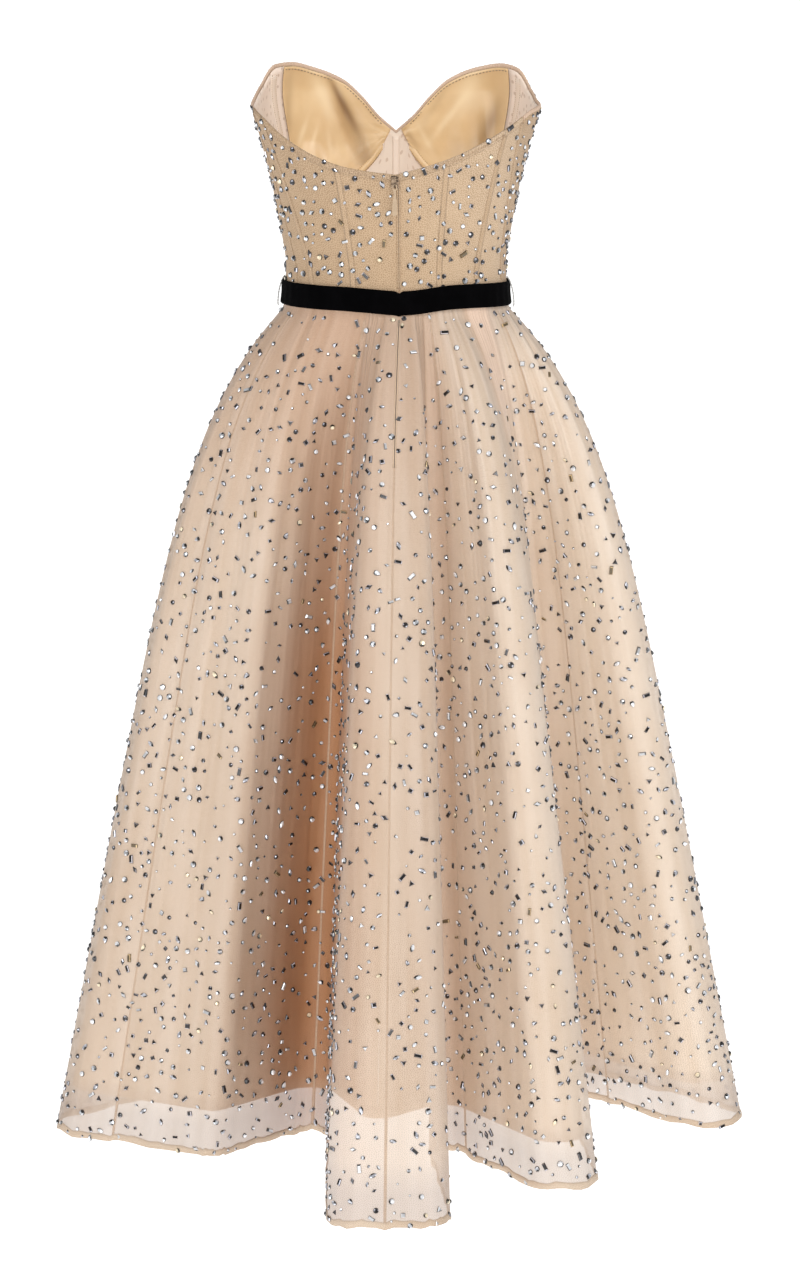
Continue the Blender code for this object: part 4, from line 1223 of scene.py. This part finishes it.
bindingLook = dict(start=-26.3, stop=184.8, height=0.0040, half=0.0011, ripple=0.00030, step=0.0034,
                   columns=620)
bandLook = dict(start=185.4, stop=333.2, height=0.0062, half=0.0011, ripple=0.00008, step=0.009, columns=220)
rollCorners = 12
rollShape = dict(inset=0.0007, acrossPower=0.7, upPower=0.8, upShare=0.6, secondWave=1.63, secondShare=0.5)


def softPower(value, power):
    # below 1, it makes a ring squarer
    return math.copysign(abs(value) ** power, value)


def edgeBand(name, look, material, nodes=()):
    # a soft roll over the top edge, with small gathers
    rows = []
    length = 0.0
    last = None
    half, tall, step = look["half"], look["height"], look["step"]
    for i in range(look["columns"] + 1):
        angle = look["start"] + (look["stop"] - look["start"]) * i / look["columns"]
        edge = topEdge(angle)
        place = bodicePoint(angle, edge - tall / 2.0)
        normal = bodiceNormal(angle, edge - tall / 2.0)
        if last is not None:
            length += float(np.linalg.norm(place - last))
        last = place
        wave = 2.0 * math.pi * length / step
        second = rollShape["secondShare"] * math.sin(wave / rollShape["secondWave"])
        puff = look["ripple"] * (math.sin(wave) + second)
        centre = bodicePoint(angle, edge - tall, rollShape["inset"])
        profile = []
        for x, y in ringOf(rollCorners, 1.0, 1.0):
            a = (half + puff) * softPower(x, rollShape["acrossPower"])
            b = tall / 2.0 + (tall / 2.0 + puff * rollShape["upShare"]) * softPower(y, rollShape["upPower"])
            profile.append(centre + normal * a + np.array([0.0, 0.0, b]))
        rows.append(profile)
    mesh = facesOut(gridMesh(name, np.array(rows), closedAcross=True), rollCorners)
    return addPiece(name, mesh, material, nodes)


edgeBand("gathered_binding", bindingLook, bindingCloth, ["top_binding"])
edgeBand("back_neck_band", bandLook, bandCloth)


def seamFrame(angleAt, low, high, steps, inset=0.0):
    line, across, out = [], [], []
    for i in range(steps + 1):
        height = low + (high - low) * i / steps
        angle = angleAt(height)
        line.append(bodicePoint(angle, height, inset))
        out.append(bodiceNormal(angle, height))
        across.append(unit(alongBodice(angle, height)))
    return np.array(line), np.array(across), np.array(out)


channelLook = dict(half=0.0032, lift=0.0007, inset=-0.0001, sign=1.0)
insideChannelLook = dict(half=0.0052, lift=0.0009, inset=0.0031, sign=-1.0)
channelEnds = dict(overBelt=0.0105, underEdge=0.0068, steps=40, rounds=8)
# shares of the half width and of the lift
channelArch = ((-1.0, 0.0), (-0.8, 0.45), (-0.35, 1.0), (0.35, 1.0), (0.8, 0.45), (1.0, 0.0))
stitchPlace = dict(across=0.72, out=0.55)
channelPaths = []


def boningChannel(seam, look, edge, material):
    low = bodiceFloor + channelEnds["overBelt"]
    high = low
    for _ in range(channelEnds["rounds"]):
        high = edge(seamAt(seam, high)) - channelEnds["underEdge"]
    wide, tall = look["half"], look["lift"] * look["sign"]
    steps, inset = channelEnds["steps"], look["inset"]
    line, across, out = seamFrame(lambda height: seamAt(seam, height), low, high, steps, inset)
    for side in (-1.0, 1.0):
        shift = across * side * wide * stitchPlace["across"]
        channelPaths.append(line + shift + out * tall * stitchPlace["out"])
    name = "boning_" + seam
    profile = [(a * wide, b * tall) for a, b in channelArch]
    return addPiece(name, sweep(name, line, across, out, profile), material)


for seam in ("right1", "right2", "right3", "left3", "left2", "left1"):
    boningChannel(seam, channelLook, topEdge, channelCloth)
insideSeams = {"insideRight": (39.5, 0.0), "insideLeft": (140.5, 0.0), "insideSideRight": (8.0, 0.0),
               "insideSideLeft": (172.0, 0.0)}
bodiceSeams.update(insideSeams)
for seam in insideSeams:
    boningChannel(seam, insideChannelLook, boundEdge, tapeCloth)

# the strip up the middle of the front, seen from inside
goreEnds = (bodiceFloor + 0.012, topEdge(90.0) - 0.0065)
gorePath = seamFrame(lambda height: 90.0, *goreEnds, steps=36, inset=0.0034)
goreProfile = [(-0.0034, 0.0), (-0.0026, -0.0006), (0.0026, -0.0006), (0.0034, 0.0)]
addPiece("gore_strip", sweep("gore_strip", *gorePath, goreProfile), tapeCloth)

wireLook = dict(start=5.5, stop=45.0, steps=60, inset=0.0046, endInset=0.0030, fade=2.2, stitchApart=0.0029,
                stitchLift=0.0005)
wireProfile = [(-0.0036, -0.0006), (-0.0028, 0.0004), (-0.0009, 0.0012), (0.0009, 0.0012), (0.0028, 0.0004),
               (0.0036, -0.0006)]


def underwireCasing(name, side, look):
    # follows the lower edge of the cup, with a stitched line on each side
    line, out = [], []
    for away in np.linspace(look["start"], look["stop"], look["steps"]):
        angle = 90.0 + side * away
        height = wireLine(angle)
        ends = sum(math.exp(-abs(away - end) / look["fade"]) for end in (look["start"], look["stop"]))
        line.append(bodicePoint(angle, height, look["inset"] - look["endInset"] * ends))
        out.append(-bodiceNormal(angle, height))
    line, out = np.array(line), np.array(out)
    across = np.cross(unitRows(np.gradient(line, axis=0)), out)
    for shift in (-look["stitchApart"], look["stitchApart"]):
        channelPaths.append(line + across * shift + out * look["stitchLift"])
    return addPiece(name, sweep(name, line, across, out, wireProfile), satin)


underwireCasing("underwire_casing_right", -1.0, wireLook)
underwireCasing("underwire_casing_left", 1.0, wireLook)
print("binding and boning are on")


# stitches, laid along paths by geometry nodes

def newTree(name, sockets):
    tree = bpy.data.node_groups.new(name, "GeometryNodeTree")
    tree.is_modifier = True
    newSocket = tree.interface.new_socket
    newSocket("Geometry", in_out="INPUT", socket_type="NodeSocketGeometry")
    identifiers = {label: newSocket(label, in_out="INPUT", socket_type="NodeSocket" + kind).identifier
                   for label, kind in sockets.items()}
    newSocket("Geometry", in_out="OUTPUT", socket_type="NodeSocketGeometry")
    return tree, tree.nodes.new("NodeGroupInput"), identifiers


def finishTree(tree, instances, material):
    # the instances become one mesh in its material
    real = addNode(tree, "GeometryNodeRealizeInstances", {"Geometry": instances.outputs["Instances"]})
    dressed = addNode(tree, "GeometryNodeSetMaterial", {
        "Geometry": real.outputs["Geometry"], "Material": material})
    addNode(tree, "NodeGroupOutput", {"Geometry": dressed.outputs["Geometry"]})


def stitchTree():
    tree, start, identifiers = newTree("stitchesAlongPath", {
        "Spacing": "Float", "Stitch": "Object", "Cloth": "Material", "Seed": "Int"})
    points = addNode(tree, "GeometryNodeCurveToPoints", {
        "Curve": start.outputs["Geometry"], "Length": start.outputs["Spacing"]}, mode="LENGTH")
    # a random value's float sockets are inputs 2 and 3 and output 1
    wobble = addNode(tree, "FunctionNodeRandomValue", {
        "Seed": start.outputs["Seed"], 2: 0.82, 3: 1.12}, data_type="FLOAT")
    stitch = addNode(tree, "GeometryNodeObjectInfo", {"Object": start.outputs["Stitch"]})
    placed = addNode(tree, "GeometryNodeInstanceOnPoints", {
        "Points": points.outputs["Points"], "Instance": stitch.outputs["Geometry"],
        "Rotation": points.outputs["Rotation"], "Scale": wobble.outputs[1]})
    finishTree(tree, placed, start.outputs["Cloth"])
    return tree, identifiers


def growPiece(source, name, nodeTree, values, material):
    # runs the nodes on the source, and what they make is the piece
    nodeGroup, identifiers = nodeTree
    nodes = source.modifiers.new("nodes", "NODES")
    nodes.node_group = nodeGroup
    for label, value in values.items():
        nodes[identifiers[label]] = value
    bpy.context.view_layer.update()
    mesh = bpy.data.meshes.new_from_object(source.evaluated_get(bpy.context.evaluated_depsgraph_get()))
    mesh.name = name
    bpy.data.objects.remove(source)
    return addPiece(name, mesh, material)


stitchRings = ((-0.5, 0.25), (-0.36, 0.85), (0.0, 1.0), (0.36, 0.85), (0.5, 0.25))


def capsule(name, length, radius):
    # lies along Z, because points on a curve look along it
    form = bmesh.new()
    rings = [[form.verts.new((x, y, z * length)) for x, y in ringOf(6, r * radius, r * radius)]
             for z, r in stitchRings]
    for low, high in zip(rings[:-1], rings[1:]):
        for k in range(6):
            form.faces.new((low[k], low[(k + 1) % 6], high[(k + 1) % 6], high[k]))
    form.faces.new(rings[0][::-1])
    form.faces.new(rings[-1])
    mesh = bpy.data.meshes.new(name)
    form.to_mesh(mesh)
    form.free()
    mesh.shade_smooth()
    return newObject(name, mesh)


stitchNodes = stitchTree()


def sewStitches(name, paths, spacing, stitch, material, seed):
    curve = bpy.data.curves.new(name + "_paths", "CURVE")
    curve.dimensions = "3D"
    for path in paths:
        line = curve.splines.new("POLY")
        line.points.add(len(path) - 1)
        for place, point in zip(line.points, path):
            place.co = (*point, 1.0)
    values = {"Spacing": spacing, "Stitch": stitch, "Cloth": material, "Seed": seed}
    return growPiece(newObject(name + "_paths", curve), name, stitchNodes, values, material)


tanStitch = capsule("tanStitch", 0.0017, 0.00028)
goldStitch = capsule("goldStitch", 0.0025, 0.00060)
fineSpacing = 0.0024
outerPaths = 12  # two stitched lines on each of the six outer channels
sewStitches("channel_stitches", channelPaths[:outerPaths], fineSpacing, tanStitch, tanThread, 3)
sewStitches("inner_stitches", channelPaths[outerPaths:], fineSpacing, tanStitch, goldThread, 4)


def edgePath(start, stop, steps, edge, drop, inset):
    return [bodicePoint(angle, edge(angle) - drop, inset) for angle in np.linspace(start, stop, steps)]


cupPaths = [edgePath(start, stop, 90, boundEdge, drop=0.0024, inset=0.0047)
            for start, stop in ((46.0, 84.0), (96.0, 134.0))]
sewStitches("cup_stitches", cupPaths, 0.0038, goldStitch, tanThread, 5)
bandPaths = [edgePath(start, stop, 140, topEdge, drop=0.0072, inset=-0.0008)
             for start, stop in ((186.0, 270.6), (-88.2, -27.0))]
sewStitches("band_stitches", bandPaths, fineSpacing, tanStitch, tanThread, 6)
for item in (tanStitch, goldStitch):
    bpy.data.objects.remove(item)
print("stitches are sewn")


# velvet belt and its thread loops

beltLook = dict(height=0.0245, clear=0.0006, wall=0.0021, columns=360, kick=0.0014, notch=0.0022,
                notchWidth=1.1)
# shares of the wall out and of the height up
beltProfile = ((0.0, -0.5), (0.55, -0.5), (0.95, -0.47), (1.0, -0.40), (1.0, 0.0), (1.0, 0.40), (0.95, 0.47),
               (0.55, 0.5), (0.0, 0.5))
beltLine = {"angle": (-120.0, -88.3, -58.0, 0.0, 90.0, 180.0, 240.0, 271.7),
            "rise": (0.0020, -0.0015, 0.0035, 0.0, 0.0015, 0.0015, 0.0020, -0.0015)}


def beltRise(angle):
    return through(beltLine["angle"], beltLine["rise"], angle)


def velvetBelt(look):
    rows = []
    for i in range(look["columns"]):
        angle = -90.0 + 360.0 * i / look["columns"]
        # the zip pulls the belt's edges in a little
        notch = look["notch"] * math.exp(-((angle - centreBack) / look["notchWidth"]) ** 2)
        # the velvet is a little uneven
        soft = 0.00025 * math.sin(angle * 0.31) + 0.0002 * math.sin(angle * 0.83 + 1.0)
        row = []
        for a, b in beltProfile:
            kick = look["kick"] * max(0.0, -2.0 * b)
            point, _ = waistPoint(angle, -(look["clear"] + kick + look["wall"] * a + soft))
            dip = notch if b > 0.3 else 0.5 * notch if b < -0.3 else 0.0
            row.append((point[0], point[1], beltRise(angle) + look["height"] * b - dip))
        rows.append(row)
    mesh = facesOut(gridMesh("velvet_belt", np.array(rows), closedAcross=True, closedUp=True))
    item = addPiece("velvet_belt", mesh, velvet, ["belt"])


velvetBelt(beltLook)
loopLook = dict(up=0.01625, upOut=0.0008, down=0.0150, downInset=-0.0062, steps=60, bow=0.0034, turns=34.0,
                apart=0.00030, strand=0.00055)


def threadLoop(name, node, angle, look):
    # two strands twisted round one another
    rise = beltRise(angle)
    outward = np.array([*waistPoint(angle, 0.0)[1], 0.0])
    upper = bodicePoint(angle, rise + look["up"]) + outward * look["upOut"]
    lower = np.array([*waistPoint(angle, look["downInset"])[0], rise - look["down"]])
    side = np.cross(outward, np.array([0.0, 0.0, 1.0]))
    parts = []
    for strand in (0.0, math.pi):
        path = []
        for t in np.linspace(0.0, 1.0, look["steps"] + 1):
            bow = look["bow"] * math.sin(math.pi * t) ** 0.6 * (1.0 - 0.35 * t)
            turn = strand + t * look["turns"]
            out = outward * (bow + look["apart"] * math.cos(turn))
            path.append(upper + (lower - upper) * t + out + side * look["apart"] * math.sin(turn))
        path = np.array(path)
        across = np.tile(side, (len(path), 1))
        out = np.cross(across, unitRows(np.gradient(path, axis=0)))
        parts.append(sweep(name, path, across, out, ringOf(6, look["strand"], look["strand"])))
    return addPiece(name, joinMeshes(name, parts), thread, [node])


threadLoop("thread_loop_right", "belt_loop_right", -4.0, loopLook)
threadLoop("thread_loop_left", "belt_loop_left", 184.0, loopLook)
print("belt is on")


# zip: closed line, its lips and the groove between them, painted dark for the shadow in it

zipLook = dict(low=0.0135, high=0.1155, skirtEnd=-0.165, lipWide=0.0008, lipTall=0.0007, apart=0.00095,
               skirtApart=0.0010, skirtLift=0.0002, grooveLift=0.0003)
zipGroove = [(-0.0003, -0.0005), (0.0003, -0.0005), (0.0003, 0.0001), (-0.0003, 0.0001)]
# painted shadow: the groove is coloured near black for the shade between the lips
zipShadow = makeThreadMaterial("zipShadow", (0.06, 0.04, 0.03), (0.02, 0.015, 0.01))


def zipAngle(height):
    return seamAt("centreRight", height)


def zipLine(ending, path, apart, lift, grooveLift, material, look):
    lips = "zip_lips" + ending
    parts = [sweep(lips, *path, ringOf(8, look["lipWide"], look["lipTall"], shift, lift))
             for shift in (-apart, apart)]
    addPiece(lips, joinMeshes(lips, parts), material)
    groove = "zip_groove" + ending
    addPiece(groove, sweep(groove, *path, [(a, b + grooveLift) for a, b in zipGroove]), zipShadow)


onBodice = seamFrame(zipAngle, zipLook["low"], zipLook["high"], steps=60, inset=-0.0004)
zipLine("", onBodice, zipLook["apart"], 0.0, 0.0, channelCloth, zipLook)
onSkirt = gridFrame(columnAngles, outerGrid, centreBack)
keep = onSkirt[0][:, 2] > zipLook["skirtEnd"]
keep[:2] = False
zipLine("_skirt", [part[keep] for part in onSkirt], zipLook["skirtApart"], zipLook["skirtLift"],
        zipLook["grooveLift"], seamNet, zipLook)
frame["nodes"]["zip_slider"].material_slots[0].material = bronze
frame["nodes"]["zip_pull"].material_slots[0].material = enamel
print("zip is closed")


# cut stones, scattered by geometry nodes

stoneFoot = dict(under=-0.0002, girdle=0.90, girdleRise=0.42, bevelTone=0.05, footTone=0.3)


def stoneShape(name, outline, height, table, facetReflections, tint):
    # outline in metres round the foot, a bevel painted dark, facets painted with bright and dark reflections
    # and a flat table on top
    form = bmesh.new()
    layer = form.loops.layers.float_color.new("facetTone")
    middle = (stoneFoot["girdle"], height * stoneFoot["girdleRise"])
    base, girdle, top = [[form.verts.new((x * share, y * share, z)) for x, y in outline]
                         for share, z in ((1.0, stoneFoot["under"]), middle, (table, height))]
    count = len(outline)
    faces = []
    for k in range(count):
        j = (k + 1) % count
        faces.append((form.faces.new((base[k], base[j], girdle[j], girdle[k])), stoneFoot["bevelTone"]))
        faces.append((form.faces.new((girdle[k], girdle[j], top[j], top[k])), facetReflections[k % (len(facetReflections) - 1)]))
    faces.append((form.faces.new(top), facetReflections[-1]))
    faces.append((form.faces.new(base[::-1]), stoneFoot["footTone"]))
    for face, facetReflection in faces:
        for corner in face.loops:
            corner[layer] = (facetReflection * tint[0], facetReflection * tint[1], facetReflection * tint[2], 1.0)
    mesh = bpy.data.meshes.new(name)
    form.to_mesh(mesh)
    form.free()
    return bpy.data.objects.new(name, mesh)


# painted reflections: one side of each stone is painted as mirroring the light and the other the dark, and
# the last value is the table
brightReflections = (1.0, 0.90, 0.45, 0.03, 0.02, 0.30, 0.85, 1.0, 0.86)
mixedReflections = (1.0, 0.60, 0.015, 0.01, 0.50, 1.0, 0.25, 0.01, 0.46)
darkReflections = (0.70, 0.08, 0.02, 0.015, 0.03, 0.60, 0.06, 0.02, 0.02)
warm = (1.0, 0.86, 0.62)
gold = (0.80, 0.60, 0.34)
roundRing = ringOf(8, 0.0021, 0.0021)
marquise = [(0.0028, 0.0), (0.0016, 0.0011), (0.0, 0.0015), (-0.0016, 0.0011), (-0.0028, 0.0),
            (-0.0016, -0.0011), (0.0, -0.0015), (0.0016, -0.0011)]
pear = [(0.0027, 0.0), (0.0011, 0.0013), (-0.0007, 0.0017), (-0.0019, 0.0011), (-0.0019, -0.0011),
        (-0.0007, -0.0017), (0.0011, -0.0013)]
baguette = [(0.0027, -0.0012), (0.0027, 0.0012), (-0.0027, 0.0012), (-0.0027, -0.0012)]
square = [(0.0016, -0.0016), (0.0016, 0.0016), (-0.0016, 0.0016), (-0.0016, -0.0016)]
triangle = [(0.0022, 0.0), (-0.0012, 0.0020), (-0.0012, -0.0020)]
rhombus = [(0.0028, 0.0), (0.0, 0.0016), (-0.0028, 0.0), (0.0, -0.0016)]
smallRing = ringOf(6, 0.00125, 0.00125)
# each row: outline, height, table share, painted reflections, tint, and how many are in the skirt's mix and
# the bodice's
stoneKinds = {
    "roundBright": (roundRing, 0.0017, 0.50, brightReflections, (0.95, 0.97, 1.0), 5, 3),
    "roundMixed": (roundRing, 0.0017, 0.46, mixedReflections, (0.92, 0.95, 1.0), 6, 9),
    "roundDark": (roundRing, 0.0016, 0.50, darkReflections, (0.9, 0.9, 1.0), 4, 3),
    "roundWarm": (roundRing, 0.0016, 0.50, brightReflections, warm, 1, 1),
    "smallBright": (smallRing, 0.0011, 0.50, brightReflections, (0.97, 0.98, 1.0), 5, 3),
    "smallMixed": (smallRing, 0.0011, 0.50, mixedReflections, (0.92, 0.94, 1.0), 4, 5),
    "marquiseBright": (marquise, 0.0013, 0.50, brightReflections, (0.95, 0.97, 1.0), 3, 1),
    "marquiseMixed": (marquise, 0.0013, 0.50, mixedReflections, (0.9, 0.92, 1.0), 4, 4),
    "marquiseWarm": (marquise, 0.0013, 0.5, brightReflections, warm, 1, 0),
    "pearBright": (pear, 0.0014, 0.5, brightReflections, (0.95, 0.97, 1.0), 1, 0),
    "pearMixed": (pear, 0.0014, 0.5, mixedReflections, (0.9, 0.92, 1.0), 2, 1),
    "baguetteBright": (baguette, 0.0012, 0.62, (0.95, 0.10, 0.30, 0.9, 0.55), (0.95, 0.97, 1.0), 2, 1),
    "baguetteDark": (baguette, 0.0012, 0.70, (0.95, 0.05, 0.25, 0.6, 0.015), (0.9, 0.9, 1.0), 6, 3),
    "baguetteGold": (baguette, 0.0012, 0.66, (0.9, 0.2, 0.35, 0.9, 0.16), gold, 1, 1),
    "squareBright": (square, 0.0012, 0.60, (0.95, 0.1, 0.4, 0.9, 0.6), (0.95, 0.97, 1.0), 1, 1),
    "squareDark": (square, 0.0012, 0.62, (0.9, 0.1, 0.3, 0.7, 0.02), (0.9, 0.9, 1.0), 4, 1),
    "triangleBright": (triangle, 0.0012, 0.5, (0.95, 0.1, 0.7, 0.5), (0.95, 0.97, 1.0), 1, 0),
    "triangleDark": (triangle, 0.0012, 0.6, (0.8, 0.05, 0.3, 0.015), (0.9, 0.9, 1.0), 4, 2),
    "rhombusBright": (rhombus, 0.0012, 0.5, (0.95, 0.1, 0.8, 0.2, 0.6), (0.95, 0.97, 1.0), 2, 1),
    "rhombusDark": (rhombus, 0.0012, 0.55, (0.8, 0.08, 0.4, 0.05, 0.03), (0.9, 0.9, 1.0), 4, 1),
}
skirtBox = bpy.data.collections.new("skirtBox")
bodiceBox = bpy.data.collections.new("bodiceBox")
for kind, (outline, height, table, facetReflections, tint, onSkirt, onBodice) in stoneKinds.items():
    for box, share in ((skirtBox, onSkirt), (bodiceBox, onBodice)):
        for copy in range(share):
            turn = copy % (len(facetReflections) - 1)
            turned = facetReflections[turn:-1] + facetReflections[:turn] + facetReflections[-1:]
            box.objects.link(stoneShape(f"{box.name}{kind}{copy}", outline, height, table, turned, tint))


def stoneTree():
    tree, start, identifiers = newTree("stonesOnCloth", {
        "Stones per square metre": "Float", "Least distance": "Float", "Smallest": "Float",
        "Largest": "Float", "Lowest": "Float", "Highest": "Float", "Stones": "Collection",
        "Last stone": "Int", "Glass": "Material", "Seed": "Int"})
    given = start.outputs
    share = addNode(tree, "GeometryNodeInputNamedAttribute", {"Name": "stoneShare"}, data_type="FLOAT")
    points = addNode(tree, "GeometryNodeDistributePointsOnFaces", {
        "Mesh": given["Geometry"], "Distance Min": given["Least distance"], "Seed": given["Seed"],
        "Density Max": given["Stones per square metre"]}, distribute_method="POISSON")
    tree.links.new(share.outputs["Attribute"], points.inputs["Density Factor"])
    box = addNode(tree, "GeometryNodeCollectionInfo", {
        "Collection": given["Stones"], "Separate Children": True, "Reset Children": True})
    # a random whole number uses inputs 4 and 5 and output 2, and a random vector inputs 0 and 1 and output 0
    pick = addNode(tree, "FunctionNodeRandomValue", {"Seed": 1}, data_type="INT")
    setInputs(tree, pick, {4: 0, 5: given["Last stone"]})
    turn = addNode(tree, "FunctionNodeRandomValue", {"Seed": 2}, data_type="FLOAT_VECTOR")
    setInputs(tree, turn, {0: (-0.10, -0.10, 0.0), 1: (0.10, 0.10, 6.2832)})
    size = addNode(tree, "FunctionNodeRandomValue", {"Seed": 3}, data_type="FLOAT")
    setInputs(tree, size, {2: given["Smallest"], 3: given["Largest"]})
    spin = addNode(tree, "FunctionNodeRotateRotation", {
        "Rotation": points.outputs["Rotation"], "Rotate By": turn.outputs[0]}, rotation_space="LOCAL")
    # none under the belt
    place = addNode(tree, "GeometryNodeInputPosition").outputs["Position"]
    height = addNode(tree, "ShaderNodeSeparateXYZ", {"Vector": place}).outputs["Z"]
    above = arithmetic(tree, "GREATER_THAN", height, given["Lowest"])
    below = arithmetic(tree, "LESS_THAN", height, given["Highest"])
    placed = addNode(tree, "GeometryNodeInstanceOnPoints", {
        "Points": points.outputs["Points"], "Selection": arithmetic(tree, "MULTIPLY", above, below),
        "Instance": box.outputs["Instances"], "Pick Instance": True,
        "Instance Index": pick.outputs[2], "Rotation": spin.outputs["Rotation"], "Scale": size.outputs[1]})
    finishTree(tree, placed, given["Glass"])
    return tree, identifiers


stoneNodes = stoneTree()


def setStones(name, clothMesh, box, look, seed):
    source = newObject(name + "_ground", clothMesh.copy())
    values = {**look, "Stones": box, "Last stone": len(box.objects) - 1, "Glass": cutGlass, "Seed": seed}
    item = growPiece(source, name, stoneNodes, values, cutGlass)
    print(name, len(item.data.polygons), "facets")
    return item


# the heights keep them off the belt
skirtStones = {"Stones per square metre": 6200.0, "Least distance": 0.0088, "Smallest": 1.02, "Largest": 1.72,
               "Lowest": -2.0, "Highest": -0.0150}
bodiceStones = {"Stones per square metre": 10500.0, "Least distance": 0.0078, "Smallest": 1.20,
                "Largest": 1.68, "Lowest": 0.0135, "Highest": 2.0}
zipClear = dict(none=0.004, grow=0.003)  # metres from the zip line
for k, (name, mesh) in enumerate(tulleMeshes.items()):
    setStones("stones_" + name, mesh, skirtBox, skirtStones, 20 + k)
for k, (name, mesh) in enumerate(bodiceMeshes.items()):
    # none close to the zip
    shares = [1.0] * len(mesh.vertices)
    if name in ("bodice_back_centre_right", "bodice_back_centre_left"):
        places = [vertex.co for vertex in mesh.vertices]
        gaps = [abs(place.x - bodicePoint(zipAngle(place.z), place.z)[0]) for place in places]
        shares = [clamped((gap - zipClear["none"]) / zipClear["grow"]) for gap in gaps]
    writeLayer(mesh, "stoneShare", shares)
    setStones("stones_" + name, mesh, bodiceBox, bodiceStones, 40 + k)
for item in list(skirtBox.objects) + list(bodiceBox.objects):
    bpy.data.objects.remove(item)
print("stones are set")
